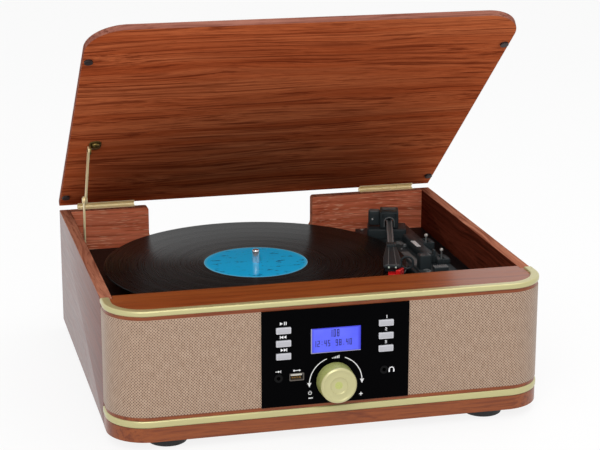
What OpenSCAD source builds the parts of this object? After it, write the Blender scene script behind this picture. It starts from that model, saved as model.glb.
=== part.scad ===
// Stereo music centre: a wooden cabinet with a rounded cloth front and a lift-up lid, a record deck
// under the lid, two speakers behind the cloth and a control panel in the middle.
// X runs to the right, Y to the back, Z up. The origin is on the standing surface, under the middle.

/* [Cabinet] */
// Width of the cabinet
cab_w = 405; // [396:1:430]
// Depth of the cabinet
cab_d = 362; // [356:1:384]
// Height of the cabinet without its feet
cab_h = 120; // [118:1:132]
// Thickness of the side and rear boards
wall_t = 11; // [9:0.5:12]
// Radius of the two front corners
corner_r = 37; // [33:1:42]
// Thickness of the base board
base_t = 9; // [6:0.5:12]
// Depth of the wooden rail in front of the lid opening
rail_d = 57; // [56:1:61]
// Thickness of that rail
rail_t = 7; // [6:0.5:9]
// Height of the plinth under the lower trim
plinth_h = 13.2; // [11:0.2:15]
// Height of the wooden strip between each trim and the cloth
reveal = 3.2; // [2:0.1:4]
// Width of the opening in the rear board, behind the record
notch_w = 178; // [150:1:184]

/* [Trim and cloth] */
// Height of the lower metal trim
low_trim_h = 6.7; // [5:0.1:8]
// Depth of the lower metal trim
low_trim_d = 4.6; // [3:0.1:6]
// How far the upper trim stands above the rail
trim_lip = 1.4; // [0.5:0.1:1.6]
// Depth of the upper metal trim
top_trim_d = 8.6; // [5:0.1:10]
// How far both trims stand out from the wood
trim_proud = 0.6; // [0.2:0.1:1.2]
// Thickness of the cloth panels
cloth_t = 2; // [1:0.1:3]
// Thickness of the baffle behind the cloth
baffle_t = 9; // [6:0.5:9]

/* [Control panel] */
// Width of the control panel
panel_w = 136; // [134:0.2:142]
// How far the panel's face stands out from the cloth
panel_proud = 1; // [0.4:0.1:1.6]
// Width of a push button
button_w = 14; // [10:0.5:15]
// Height of a push button
button_h = 6.2; // [5:0.2:8.4]
// Distance from one button to the next below it
button_pitch = 12.05; // [11.4:0.05:12.6]
// Distance of the button columns from the panel's middle
button_x = 47.2; // [45:0.1:48.6]
// Travel of a push button
button_travel = 1; // [0.5:0.1:1.2]
// Width of the display
display_w = 46; // [36:1:50]
// Height of the display
display_h = 23.3; // [18:0.1:25]
// Diameter of the volume knob
knob_d = 34.4; // [24:0.2:36]
// Length of the volume knob in front of the panel
knob_l = 18; // [12:0.5:22]
// Diameter of the volume shaft
shaft_d = 6; // [4:0.5:7]
// Bore of the two front jacks
jack_d = 3.6; // [3.2:0.1:4]
// Width of the data socket
usb_w = 13.2; // [12.6:0.1:14]
// Height of the data socket
usb_h = 7; // [6.4:0.1:8]

/* [Deck] */
// How far the deck lies below the cabinet's top
deck_drop = 42; // [40:0.5:44]
// Thickness of the deck plate
deck_t = 3; // [2:0.5:4]
// Distance of the spindle to the left of the cabinet's middle
spin_left = 25.5; // [20:0.5:30]
// Distance of the spindle from the cabinet's back
spin_rear = 150; // [146:0.5:153]
// Radius of the platter
platter_r = 130; // [110:1:134]
// Height of the platter
platter_h = 10; // [8.5:0.5:10.5]
// Diameter of the spindle
spindle_d = 7.1; // [6.8:0.05:7.3]
// Radius of the record
record_r = 150.8; // [125:0.1:151]
// Thickness of the record
record_t = 2; // [1.6:0.1:2.6]
// Radius of the record's label
label_r = 51.5; // [40:0.5:55]

/* [Tonearm] */
// Distance of the arm's pivot to the right of the spindle
arm_dx = 164.5; // [162:0.5:167]
// Distance of the arm's pivot behind the spindle
arm_dy = 88; // [86:0.5:90]
// Angle of the arm, turned in from straight ahead
arm_in = 15.6; // [13:0.1:18]
// Distance from the pivot to the stylus
arm_len = 172; // [170:0.5:174]
// Diameter of the arm's tube
tube_d = 6; // [5:0.1:6.4]
// Height of the tube above the record
arm_rise = 9.2; // [9:0.1:10.4]
// Height of the stylus tip above the record
stylus_gap = 0.6; // [0.5:0.1:1]

/* [Lid] */
// Angle of the open lid
lid_open = 39.3; // [32:0.1:42]
// Thickness of the lid
lid_t = 6; // [4:0.5:12]
// Length of each hinge
hinge_l = 60; // [49:1:64]
// Distance of each hinge's middle from the cabinet's middle
hinge_x = 153.5; // [146:0.5:154]
// Radius of a hinge knuckle
knuckle_r = 2.4; // [2:0.1:2.8]
// Length of the stay's lower arm
stay_low_l = 56.5; // [50:0.5:60]
// Width of the stay's arms
stay_w = 8; // [5:0.5:9]

/* [Speakers and feet] */
// Diameter of the sound holes in the baffle
cone_hole_d = 66; // [50:1:70]
// Diameter of a speaker's flange
speaker_d = 78; // [74:1:82]
// Distance of each speaker from the cabinet's middle
speaker_x = 113; // [111:0.5:116]
// Diameter of a foot
foot_d = 36; // [24:1:38]
// Height of a foot
foot_h = 9; // [5:0.5:12]

/* [Hidden] */
$fn = 64;

// Clearances
slip = 0.05; // round a shaft, on the radius
play = 0.15; // round a button or a slider
apart = 0.4; // between pieces that pass each other

// Heights and places of the cabinet's parts
side_y = corner_r + 11.5; // where the side boards begin
half_in = cab_w/2 - wall_t; // inner face of the side boards
rear_in = cab_d - wall_t; // inner face of the rear board
low_trim_z = plinth_h;
cloth_z0 = plinth_h + low_trim_h + reveal;
cloth_z1 = cab_h - rail_t;
top_trim_z = cloth_z1 + reveal;
plinth_d = 20; // depth of the plinth board
skirt_t = 6; // board that hangs from the rail down to the deck
skirt_y = rail_d - skirt_t;
ledge = 8; // strip that carries the deck
notch_r = 8; // lower corners of the rear opening
notch_top_r = 3; // its rounded upper edges

// Heights of the deck and what turns on it
deck_z = cab_h - deck_drop;
platter_z = deck_z + 2.3;
belt_rim_r = 60;
plate_t = 3; // thickness of the platter's top
mat_z = platter_z + platter_h;
mat_t = 2;
record_z = mat_z + mat_t;
record_top = record_z + record_t;
label_t = 0.2;
label_sink = 0.15; // depth of the label's seat in the record
spin_x = -spin_left;
spin_y = cab_d - spin_rear;
notch_z = record_z - 8; // bottom edge of the rear opening
bearing_d = 14;
bearing_z = deck_z - deck_t - 17;
motor_d = 36;
motor_h = 25;
motor_dx = -82; // motor, from the spindle
motor_dy = -57;
motor_shaft_d = 2;
pulley_r = 6;
belt_t = 0.8;
belt_h = 4;

// Tonearm, drawn straight ahead along -Y from its pivot
arm_x = spin_x + arm_dx;
arm_y = spin_y + arm_dy;
arm_z = record_top + arm_rise;
base_h = 8; // height of the mechanism's base plate
base_z = deck_z + base_h;
pivot_z = arm_z - 6.9; // top of the fixed pivot block
pivot_w = 19.4;
pivot_pin_d = 5;
cross_pin_d = 2.5;
rest_y = 125; // arm rest, from the pivot
ridge_h = 8; // raised part of the base plate
lever_y = 54; // cue lever, from the pivot
speed_y = 105; // speed lever, from the pivot
speed_h = 5; // height of the speed lever's housing
lever_x = 24;
stop_x = 11; // ridged slider, from the pivot
stop_y = 142;
stop_w = 15;
stop_d = 8;
stop_h = 7.4;
shell_w = 17;
shell_neck_w = 10; // where the headshell meets the tube
shell_t = 2.6;
cartridge_w = 14;
cartridge_h = 5.2;
cartridge_z = record_top + 3.6;
shell_z = cartridge_z + cartridge_h; // underside of the headshell
weight_y = 17; // front of the counterweight, behind the pivot
weight_l = 12;

// Lid, drawn closed and then turned about the hinge
leaf_t = 1;
leaf_gap = apart;
leaf_y = 4;
lid_z = cab_h + 2*leaf_t + leaf_gap;
hinge_z = cab_h + leaf_t + leaf_gap/2;
hinge_y = cab_d + knuckle_r + apart;
hinge_pin_d = 2;
knuckles = 7;
bumper_d = 8;
bumper_h = lid_z - cab_h - apart;
bumper_rear = 24; // bumpers, from the hinge
bumper_front = cab_d - 51;

// Lid stay, in two planes beside the left board
stay_t = 1.4;
stay_low_x = -half_in + 5.3; // left face of the lower arm
stay_up_x = stay_low_x + stay_t + apart; // left face of the upper arm
stay_y = cab_d - 71; // wall pivot
stay_z = cab_h - 28;
stay_lean = 3.8; // lean of the lower arm to the front
stay_pin_d = 4;
stay_lid_y = 142; // lid pivot, along the lid from the hinge
stay_lid_drop = 5.4; // lid pivot below the lid's inner face
slot_y0 = stay_y - stay_low_l - 28; // gap for the folded stay in the deck and the ledge
slot_y1 = stay_y + 34;
// Its pivots in the plane of its arms, as Y and Z: on the wall, between the arms and on the lid
lid_d = [-cos(lid_open), sin(lid_open)];
lid_n = [sin(lid_open), cos(lid_open)];
stay_a = [stay_y, stay_z];
stay_m = stay_a + stay_low_l*[-sin(stay_lean), cos(stay_lean)];
stay_b = [hinge_y, hinge_z] + stay_lid_y*lid_d + (lid_z - hinge_z - stay_lid_drop)*lid_n;

// Controls, from the panel's edges
panel_y = -panel_proud;
panel_t = panel_proud + cloth_t;
panel_mid = (cloth_z0 + cloth_z1)/2;
button_z = cloth_z1 - 18.4;
button_shift = -0.8; // of both columns from the panel's middle
display_z = cloth_z1 - 30.6;
knob_x = -1.5;
knob_z = cloth_z0 + 21.9;
jack_z = cloth_z0 + 27.1;
aux_x = -52.7;
usb_x = -35.9;
phones_x = 44.9;
board_y = 9.5;
board_t = 1.6;
board_w = 117;
board_margin = 7; // from the panel's lower and upper edge to the board
boss_d = 5;
boss_x = 55;
boss_in = 11; // bosses, from the panel's lower and upper edge
cap_y = panel_y - 1.2;
collar_d = 7.6; // collar of a front jack
bushing_d = 9; // bushing of the volume control
shaft_y = board_y - 0.6; // inner end of the volume shaft
flange_t = 1.2; // flange that holds a button behind the panel
stem_l = 1; // stem of a button behind its flange

// Speakers, feet and rear sockets
speaker_z = panel_mid;
speaker_y = cloth_t + baffle_t;
speaker_depth = 34;
foot_x = cab_w/2 - 53.5;
foot_front_y = 26;
foot_rear_y = cab_d - foot_front_y;
socket_x = 125;
socket_z = 45;
socket_w = 66;
socket_h = 26;
socket_out = 6; // how far the rear sockets stand out
socket_places = [socket_x - 24, socket_x - 8, socket_x + 18];
socket_ring_d = 9;
socket_bores = [3.2, 3.2, 5.6];
socket_bore_l = 9;
housing_w = 14; // housing of each rear socket, behind its plate
housing_d = 8;

// Ends of the whole object, which put the origin under its middle
front_end = panel_y - 0.5 - knob_l;
rear_end = cab_d + socket_out;
mid_y = (front_end + rear_end)/2;

// ---- shared shapes ----

// Puts a piece drawn in the cabinet's own frame on the standing surface
module stand() {
    translate([0, -mid_y, foot_h]) children();
}

// Turns pieces drawn on the closed lid to the open position
module on_lid() {
    translate([0, hinge_y, hinge_z]) rotate([-lid_open, 0, 0]) translate([0, -hinge_y, -hinge_z]) children();
}

// Puts pieces drawn along -Y from the pivot at the arm's place
module on_arm() {
    translate([arm_x, arm_y, 0]) rotate([0, 0, -arm_in]) children();
}

// Plan of the cabinet with its two round front corners, drawn in by inset and cut off at back
module plan(inset, back) {
    half = cab_w/2 - corner_r;
    intersection() {
        union() {
            translate([-half, inset]) square([2*half, back - inset]);
            translate([-cab_w/2 + inset, corner_r]) square([cab_w - 2*inset, back - corner_r]);
            for (s = [-1, 1]) translate([s*half, corner_r]) circle(r = corner_r - inset, $fn = 128);
        }
        translate([-cab_w, -2*corner_r]) square([2*cab_w, back + 2*corner_r]);
    }
}

// Band that follows the rounded front between two insets
module band(outer, inner, z0, z1) {
    translate([0, 0, z0]) linear_extrude(z1 - z0) difference() {
        plan(outer, side_y);
        plan(inner, side_y + 1);
    }
}

// Carries a profile round the front: its x is measured outwards from a corner's centre
module front_sweep() {
    half = cab_w/2 - corner_r;
    for (s = [0, 1]) mirror([s, 0, 0]) translate([half, corner_r, 0]) {
        rotate([0, 0, -90]) rotate_extrude(angle = 90, $fn = 128) children();
        rotate([90, 0, -90]) linear_extrude(half) children();
        translate([0, side_y - corner_r, 0]) rotate([90, 0, 0]) linear_extrude(side_y - corner_r) children();
    }
}

// Bar section with its two outer corners rounded
module bar_section(w, h, r) {
    square([w - r, h]);
    translate([0, r]) square([w, h - 2*r]);
    for (y = [r, h - r]) translate([w - r, y]) circle(r);
}

// Box from its middle in X and Z, and from its front face in Y
module slab(x, y, z, w, d, h) {
    translate([x - w/2, y, z - h/2]) cube([w, d, h]);
}

// Cylinder along Y, from its front end
module rod_y(x, y, z, d, l) {
    translate([x, y, z]) rotate([-90, 0, 0]) cylinder(d = d, h = l);
}

// Cylinder along X, from its left end
module rod_x(x, y, z, d, l) {
    translate([x, y, z]) rotate([0, 90, 0]) cylinder(d = d, h = l);
}

// ---- cabinet ----

module side_panel(s, gaps) {
    color("#7a3a22") stand() {
        translate([s > 0 ? half_in : -cab_w/2, side_y, 0]) cube([wall_t, cab_d - side_y, cab_h]);
        for (g = gaps) {
            translate([s > 0 ? half_in - ledge : -half_in, g[0], deck_z - deck_t - ledge])
                cube([ledge, g[1] - g[0], ledge]);
        }
    }
}

module side_panel_left() {
    side_panel(-1, [[rail_d, slot_y0], [slot_y1, rear_in]]);
}

module side_panel_right() {
    side_panel(1, [[rail_d, rear_in]]);
}

module rear_panel() {
    left = spin_x + 4 - notch_w/2;
    r = notch_top_r;
    color("#7a3a22") stand() difference() {
        translate([-half_in, rear_in, 0]) cube([2*half_in, wall_t, cab_h]);
        translate([left, rear_in - 1, notch_z + notch_r]) cube([notch_w, wall_t + 2, cab_h]);
        translate([left + notch_r, rear_in - 1, notch_z]) cube([notch_w - 2*notch_r, wall_t + 2, cab_h]);
        for (x = [left + notch_r, left + notch_w - notch_r]) {
            rod_y(x, rear_in - 1, notch_z + notch_r, 2*notch_r, wall_t + 2);
        }
        for (s = [0, 1]) translate([s > 0 ? left + notch_w : left - r, rear_in - 1, cab_h - r]) difference() {
            cube([r, wall_t + 2, r + 1]);
            rod_y(s > 0 ? r : 0, -1, 0, 2*r, wall_t + 4);
        }
        slab(socket_x, rear_in - 1, socket_z, socket_w, wall_t + 2, socket_h);
    }
}

module base_board() {
    vent_w = 3;
    color("#b79468") stand() difference() {
        union() {
            linear_extrude(base_t) plan(plinth_d, side_y + 1);
            translate([-half_in, side_y, 0]) cube([2*half_in, rear_in - side_y, base_t]);
        }
        for (i = [0:9]) translate([-60 + i*12, 200, -1]) cube([vent_w, 40, base_t + 2]);
    }
}

module top_rail() {
    color("#7a4320") stand() {
        translate([0, 0, cloth_z1]) linear_extrude(reveal) plan(trim_proud, side_y);
        translate([0, 0, top_trim_z]) linear_extrude(rail_t - reveal) plan(top_trim_d - trim_proud, side_y);
        translate([-half_in, side_y - 1, cloth_z1]) cube([2*half_in, rail_d - side_y + 1, rail_t]);
        translate([-half_in, skirt_y, deck_z]) cube([2*half_in, skirt_t, cloth_z1 - deck_z + 1]);
    }
}

module front_plinth() {
    color("#7a4320") stand() {
        band(0, plinth_d, 0, low_trim_z);
        band(low_trim_d - trim_proud, plinth_d, low_trim_z, low_trim_z + low_trim_h);
        band(trim_proud, plinth_d, low_trim_z + low_trim_h, cloth_z0);
    }
}

module front_baffle() {
    window_w = board_w + 3;
    window_h = cloth_z1 - cloth_z0 - 10;
    color("#a58a63") stand() difference() {
        band(cloth_t, cloth_t + baffle_t, cloth_z0, cloth_z1);
        slab(0, 0, panel_mid, window_w, 30, window_h);
        for (s = [-1, 1]) rod_y(s*speaker_x, 0, speaker_z, cone_hole_d, 30);
    }
}

module grille(s) {
    color("#a98f7c") stand() intersection() {
        band(0, cloth_t, cloth_z0, cloth_z1);
        translate([s > 0 ? panel_w/2 : -cab_w, -1, 0]) cube([cab_w - (s > 0 ? 0 : panel_w/2), cab_d, cab_h]);
    }
}

module grille_left() {
    grille(-1);
}

module grille_right() {
    grille(1);
}

module trim_upper() {
    h = cab_h + trim_lip - top_trim_z;
    color("#d7cfa0") stand() front_sweep()
        translate([corner_r + trim_proud - top_trim_d, top_trim_z]) bar_section(top_trim_d, h, 1.6);
}

module trim_lower() {
    color("#d7cfa0") stand() front_sweep()
        translate([corner_r + trim_proud - low_trim_d, low_trim_z]) bar_section(low_trim_d, low_trim_h, 1.6);
}

module feet() {
    color("#1b1b1c") stand() for (x = [-foot_x, foot_x], y = [foot_front_y, foot_rear_y]) {
        translate([x, y, -foot_h]) cylinder(d = foot_d, h = foot_h);
    }
}

module rear_socket_plate() {
    color("#202022") stand() difference() {
        slab(socket_x, cab_d, socket_z, socket_w + 10, 1.5, socket_h + 10);
        for (x = socket_places) rod_y(x, cab_d - 1, socket_z, socket_ring_d + 2*play, 4);
    }
}

module rear_sockets() {
    color("#3a3a3c") stand() for (i = [0:2]) difference() {
        union() {
            slab(socket_places[i], cab_d - housing_d, socket_z, housing_w, housing_d, socket_h - 6);
            rod_y(socket_places[i], cab_d - 1, socket_z, socket_ring_d, socket_out + 1);
        }
        rod_y(socket_places[i], rear_end - socket_bore_l, socket_z, socket_bores[i], socket_bore_l + 1);
    }
}

// ---- speakers ----

module speaker(s) {
    flange_r = speaker_d/2;
    rim_r = cone_hole_d/2;
    magnet_r = 22.5;
    back = 20;
    color("#2b2b2d") stand() translate([s*speaker_x, speaker_y, speaker_z]) rotate([-90, 0, 0])
        rotate_extrude()
        polygon([[rim_r, 0], [flange_r, 0], [flange_r, 2], [rim_r + 2.2, 2], [24, back - 2], [24, back + 1],
            [magnet_r, back + 1], [magnet_r, speaker_depth], [0, speaker_depth], [0, back],
            [21.5, back], [21.5, back - 2]]);
}

module speaker_left() {
    speaker(-1);
}

module speaker_right() {
    speaker(1);
}

module speaker_cones() {
    rim_r = cone_hole_d/2 - 1;
    roll = 5.5; // width of the flat surround
    cone_t = 0.9;
    color("#17171a") stand() for (s = [-1, 1]) {
        translate([s*speaker_x, speaker_y, speaker_z]) rotate([-90, 0, 0]) rotate_extrude()
            polygon([[0, 9], [6, 10], [10, 13], [rim_r - roll, 0.3], [rim_r, 0.3], [rim_r, 0.3 + cone_t],
                [rim_r - roll, 0.3 + cone_t], [10, 14], [6, 11], [0, 10]]);
    }
}

// ---- control panel ----

module at_buttons() {
    for (s = [-1, 1], i = [0:2]) translate([s*button_x + button_shift, 0, button_z - i*button_pitch]) children();
}

module control_panel() {
    h = cloth_z1 - cloth_z0;
    color("#0c0c0e") stand() difference() {
        union() {
            slab(0, panel_y, panel_mid, panel_w, panel_t, h);
            for (x = [-boss_x, boss_x], z = [cloth_z0 + boss_in, cloth_z1 - boss_in]) {
                rod_y(x, cloth_t - 0.1, z, boss_d, board_y - cloth_t + 0.1);
            }
        }
        at_buttons() slab(0, panel_y - 1, 0, button_w + 2*play, panel_t + 2, button_h + 2*play);
        slab(0, panel_y - 1, display_z, display_w, panel_t + 2, display_h);
        rod_y(knob_x, panel_y - 1, knob_z, bushing_d + 2*play, panel_t + 2);
        slab(usb_x, panel_y - 1, jack_z, usb_w, panel_t + 2, usb_h);
        for (x = [aux_x, phones_x]) rod_y(x, panel_y - 1, jack_z, collar_d, panel_t + 2);
    }
}

module display_module() {
    color("#3c49d8") stand() {
        slab(0, panel_y + 0.3, display_z, display_w, panel_t, display_h);
        slab(0, cloth_t, display_z, display_w + 8, board_y - cloth_t, display_h + 6);
    }
}

module control_board() {
    key_w = 6;
    key_y = cloth_t + flange_t + play + button_travel + stem_l + apart;
    color("#1f5a34") stand() {
        slab(0, board_y, panel_mid, board_w, board_t, cloth_z1 - cloth_z0 - 2*board_margin);
        at_buttons() slab(0, key_y, 0, key_w, board_y - key_y + 0.1, key_w);
    }
}

module volume_pot() {
    pot_d = 16;
    color("#9a9a9c") stand() difference() {
        union() {
            rod_y(knob_x, cloth_t, knob_z, pot_d, board_y - cloth_t);
            rod_y(knob_x, panel_y, knob_z, bushing_d, panel_t + 0.1);
        }
        rod_y(knob_x, panel_y - 1, knob_z, shaft_d + 2*slip, shaft_y + 0.2 - panel_y + 1);
    }
}

module usb_socket() {
    shell = 0.5;
    mouth = 5; // free depth in front of the tongue
    color("#b9b9bb") stand() {
        difference() {
            slab(usb_x, panel_y, jack_z, usb_w, board_y - panel_y, usb_h);
            slab(usb_x, panel_y - 1, jack_z, usb_w - 2*shell, board_y - panel_y, usb_h - 2*shell);
        }
        slab(usb_x, panel_y + mouth, jack_z + 1, usb_w - 3, board_y - panel_y - mouth, 1.8);
    }
}

module front_jacks() {
    body_d = 10;
    depth = board_y - cap_y - 1;
    color("#141416") stand() for (x = [aux_x, phones_x]) difference() {
        union() {
            rod_y(x, cap_y + 0.6, jack_z, collar_d, board_y - cap_y - 0.6);
            rod_y(x, cloth_t, jack_z, body_d, board_y - cloth_t);
        }
        rod_y(x, cap_y - 1, jack_z, jack_d, depth + 1);
    }
}

module button(s, i) {
    flange = 0.9;
    y0 = cloth_t + play; // front of the flange
    color("#c4c4c8") stand() translate([s*button_x + button_shift, 0, button_z - i*button_pitch]) {
        slab(0, cap_y, 0, button_w, y0 + flange_t - cap_y, button_h);
        slab(0, y0, 0, button_w + 2*flange, flange_t, button_h + 2*flange);
        rod_y(0, y0 + flange_t - 0.1, 0, 3, stem_l + 0.1);
    }
}

module button_left_1() {
    button(-1, 0);
}

module button_left_2() {
    button(-1, 1);
}

module button_left_3() {
    button(-1, 2);
}

module button_right_1() {
    button(1, 0);
}

module button_right_2() {
    button(1, 1);
}

module button_right_3() {
    button(1, 2);
}

module volume_knob() {
    r = knob_d/2;
    back = 0.5; // gap between the knob and the panel
    color("#c9c49b") stand() translate([knob_x, panel_y - back, knob_z]) rotate([90, 0, 0]) {
        rotate_extrude() polygon([[0, 0], [r - 1.5, 0], [r - 1.5, 1.5], [r, 2.5], [r - 0.8, knob_l - 1.6],
            [r - 1.6, knob_l - 0.3], [r - 2.4, knob_l], [r - 3.6, knob_l - 0.8], [0, knob_l - 0.8]]);
        translate([0, 0, -shaft_y + panel_y - back]) cylinder(d = shaft_d, h = shaft_y - panel_y + back + 4);
    }
}

// ---- electronics under the deck ----

module main_board() {
    w = 130;
    d = 70;
    x = 40;
    y = rear_in - d/2 - 66;
    stud_d = 6;
    stud_h = 6;
    top = stud_h + board_t - 0.1;
    core = [44, 38, 24]; // transformer
    sink = [50, 8, 22]; // heat sink
    can_d = 12;
    can_h = 20;
    color("#23603a") stand() translate([x, y, base_t]) {
        for (sx = [-1, 1], sy = [-1, 1]) {
            translate([sx*(w/2 - stud_d), sy*(d/2 - stud_d), 0]) cylinder(d = stud_d, h = stud_h + 0.1);
        }
        translate([-w/2, -d/2, stud_h]) cube([w, d, board_t]);
        translate([-w/2 + 15, -core[1]/2, top]) cube(core);
        translate([4, d/2 - 25, top]) cube(sink);
        for (i = [0:2]) translate([8 + i*1.5*can_d, -d/5, top]) cylinder(d = can_d, h = can_h);
    }
}

// ---- record deck ----

module deck_plate() {
    y0 = skirt_y;
    color("#151517") stand() difference() {
        translate([-half_in, y0, deck_z - deck_t]) cube([2*half_in, rear_in - y0, deck_t]);
        translate([spin_x, spin_y, 0]) cylinder(d = bearing_d, h = cab_h);
        translate([spin_x + motor_dx, spin_y + motor_dy, 0]) cylinder(d = 8, h = cab_h);
        translate([-half_in - 1, slot_y0, 0]) cube([14, slot_y1 - slot_y0, cab_h]);
    }
}

module drive_motor() {
    color("#b5b5b8") stand() translate([spin_x + motor_dx, spin_y + motor_dy, deck_z - deck_t - motor_h])
        difference() {
            cylinder(d = motor_d, h = motor_h);
            translate([0, 0, 2]) cylinder(d = motor_shaft_d + 2*slip, h = motor_h);
        }
}

module motor_pulley() {
    h = platter_h - plate_t - 2;
    bottom = deck_z - deck_t - motor_h + 2.2;
    color("#c9a75c") stand() translate([spin_x + motor_dx, spin_y + motor_dy, 0]) {
        translate([0, 0, platter_z + 0.5]) cylinder(r = pulley_r, h = h);
        translate([0, 0, bottom]) cylinder(d = motor_shaft_d, h = platter_z + 1 - bottom);
    }
}

module drive_belt() {
    gap = 0.3; // between the belt's inner face and what it runs on
    overlap = 0.2; // of each straight run into the arcs
    d = norm([motor_dx, motor_dy]);
    t = acos((belt_rim_r - pulley_r)/d); // where the straight runs leave both arcs
    run = d*sin(t);
    r1 = belt_rim_r + gap;
    color("#101010") stand() translate([spin_x, spin_y, platter_z + (platter_h - plate_t - belt_h)/2])
        rotate([0, 0, atan2(motor_dy, motor_dx)]) {
            rotate([0, 0, t]) rotate_extrude(angle = 360 - 2*t, $fn = 128)
                translate([r1, 0]) square([belt_t, belt_h]);
            translate([d, 0, 0]) rotate([0, 0, -t]) rotate_extrude(angle = 2*t)
                translate([pulley_r + gap, 0]) square([belt_t, belt_h]);
            for (s = [0, 1]) mirror([0, s, 0]) rotate([0, 0, t - 90])
                translate([-overlap, r1, 0]) cube([run + 2*overlap, belt_t, belt_h]);
        }
}

module platter_bearing() {
    color("#c2a45a") stand() translate([spin_x, spin_y, 0]) difference() {
        union() {
            translate([0, 0, bearing_z]) cylinder(d = bearing_d, h = deck_z - bearing_z);
            translate([0, 0, deck_z]) cylinder(d = bearing_d + 6, h = 1);
        }
        translate([0, 0, bearing_z + 3]) cylinder(d = spindle_d + 2*slip, h = deck_z);
    }
}

module spindle() {
    tip = record_top + 13.5;
    bottom = bearing_z + 3 + 2*slip;
    color("#d8d8dc") stand() translate([spin_x, spin_y, 0]) {
        translate([0, 0, bottom]) cylinder(d = spindle_d, h = tip - 2 - bottom);
        translate([0, 0, tip - 2]) rotate_extrude() polygon([[0, 0], [spindle_d/2, 0],
            [spindle_d/2 - 0.5, 1.2], [spindle_d/2 - 1.6, 1.9], [0, 2]]);
    }
}

module platter() {
    rim_t = 4;
    color("#2a2a2c") stand() translate([spin_x, spin_y, 0]) difference() {
        union() {
            translate([0, 0, mat_z - plate_t]) cylinder(r = platter_r, h = plate_t, $fn = 128);
            translate([0, 0, platter_z]) difference() {
                cylinder(r = platter_r, h = platter_h, $fn = 128);
                translate([0, 0, -1]) cylinder(r = platter_r - rim_t, h = platter_h + 2, $fn = 128);
            }
            translate([0, 0, platter_z]) cylinder(r = belt_rim_r, h = platter_h - 1, $fn = 128);
        }
        translate([0, 0, platter_z - 1]) cylinder(d = spindle_d, h = platter_h + 2);
    }
}

module slip_mat() {
    color("#1d1d1f") stand() translate([spin_x, spin_y, mat_z]) difference() {
        cylinder(r = platter_r - 2, h = mat_t, $fn = 128);
        translate([0, 0, -1]) cylinder(d = spindle_d + 2*slip, h = mat_t + 2);
    }
}

module record_disc() {
    color("#0e0e10") stand() translate([spin_x, spin_y, record_z]) difference() {
        cylinder(r = record_r, h = record_t, $fn = 192);
        translate([0, 0, -1]) cylinder(d = spindle_d + 2*slip, h = record_t + 2);
        translate([0, 0, record_t - label_sink]) cylinder(r = label_r, h = 1, $fn = 128);
        translate([0, 0, label_sink - 1]) cylinder(r = label_r, h = 1, $fn = 128);
    }
}

module record_label() {
    color("#2596d2") stand() translate([spin_x, spin_y, record_z]) for (z = [record_t - label_sink, 0]) {
        translate([0, 0, z]) difference() {
            cylinder(r = label_r, h = z > 0 ? label_t : label_sink, $fn = 128);
            translate([0, 0, -1]) cylinder(d = spindle_d + 2*slip, h = 3);
        }
    }
}

// ---- tonearm ----

module tonearm_base() {
    left = -13;
    w = 44;
    ahead = 150; // length of the plate in front of the pivot
    behind = 35;
    shoulder_w = 14; // wider part of the plate beside the pivot
    shoulder_ahead = 24;
    ridge_x = 7;
    ridge_w = 11;
    ridge_l = 85;
    ridge_ahead = 110;
    block_w = 41; // fixed pivot block
    block_d = 28;
    block_left = -23;
    housing_r = 7; // half width of a lever's housing
    housing_l = 18;
    slot_w = 2 + 2*apart;
    stop_slot_l = 20;
    color("#1a1a1c") stand() difference() {
        union() {
            translate([arm_x + left, arm_y - ahead, deck_z]) cube([w, ahead + behind, base_h]);
            translate([arm_x + left - shoulder_w, arm_y - shoulder_ahead, deck_z])
                cube([shoulder_w + 1, shoulder_ahead + behind, base_h]);
            translate([arm_x + ridge_x, arm_y - ridge_ahead, base_z - 0.1])
                cube([ridge_w, ridge_l, ridge_h + 0.1]);
            for (lever = [[lever_y, ridge_h], [speed_y, speed_h]])
                translate([arm_x + lever_x - housing_r, arm_y - lever[0] - housing_l/2, base_z - 0.1])
                    cube([2*housing_r, housing_l, lever[1] + 0.1]);
            on_arm() translate([block_left, -block_d/2, base_z - 0.1])
                cube([block_w, block_d, pivot_z - base_z + 0.1]);
        }
        on_arm() translate([0, 0, base_z - 2]) cylinder(d = pivot_pin_d + 2*slip, h = cab_h);
        lever_slot(lever_y, base_z + ridge_h, slot_w);
        lever_slot(speed_y, base_z + speed_h, slot_w);
        translate([arm_x + stop_x - stop_slot_l/2, arm_y - stop_y - 2 - play, base_z - 2])
            cube([stop_slot_l, 4 + 2*play, 3]);
    }
}

// Slot and pin bore for a small lever, with the top of its housing at z
module lever_slot(y, z, w) {
    translate([arm_x + lever_x - w/2, arm_y - y - 7, z - 7]) cube([w, 14, 10]);
    rod_x(arm_x + lever_x - 4, arm_y - y, z - 4, 1.6 + 2*slip, 8);
}

// Small upright lever on a cross pin, with a ball on its tip
module small_lever(y, z, l, tip) {
    stand() translate([arm_x + lever_x, arm_y - y, z - 4]) {
        rod_x(-1, 0, 0, 4, 2);
        rod_x(-3.8, 0, 0, 1.6, 7.6);
        cylinder(d = 2, h = l);
        translate([0, 0, l]) sphere(d = tip);
    }
}

module cue_lever() {
    color("#d9d9d9") small_lever(lever_y, base_z + ridge_h, 9.6, 4.4);
}

module speed_lever() {
    color("#c8c2b4") small_lever(speed_y, base_z + speed_h, 11.5, 3.6);
}

module autostop_switch() {
    ribs = 6;
    color("#2c2c2e") stand() translate([arm_x + stop_x, arm_y - stop_y, base_z]) {
        translate([-stop_w/2, -stop_d/2, play]) cube([stop_w, stop_d, stop_h - 1]);
        translate([-5, -2, -1.6]) cube([10, 4, 2]);
        for (i = [0:ribs - 1]) translate([-stop_w/2 + i*stop_w/ribs + 0.6, -stop_d/2, stop_h - 1.2]) {
            cube([1.3, stop_d, 1.2]);
        }
    }
}

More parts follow.
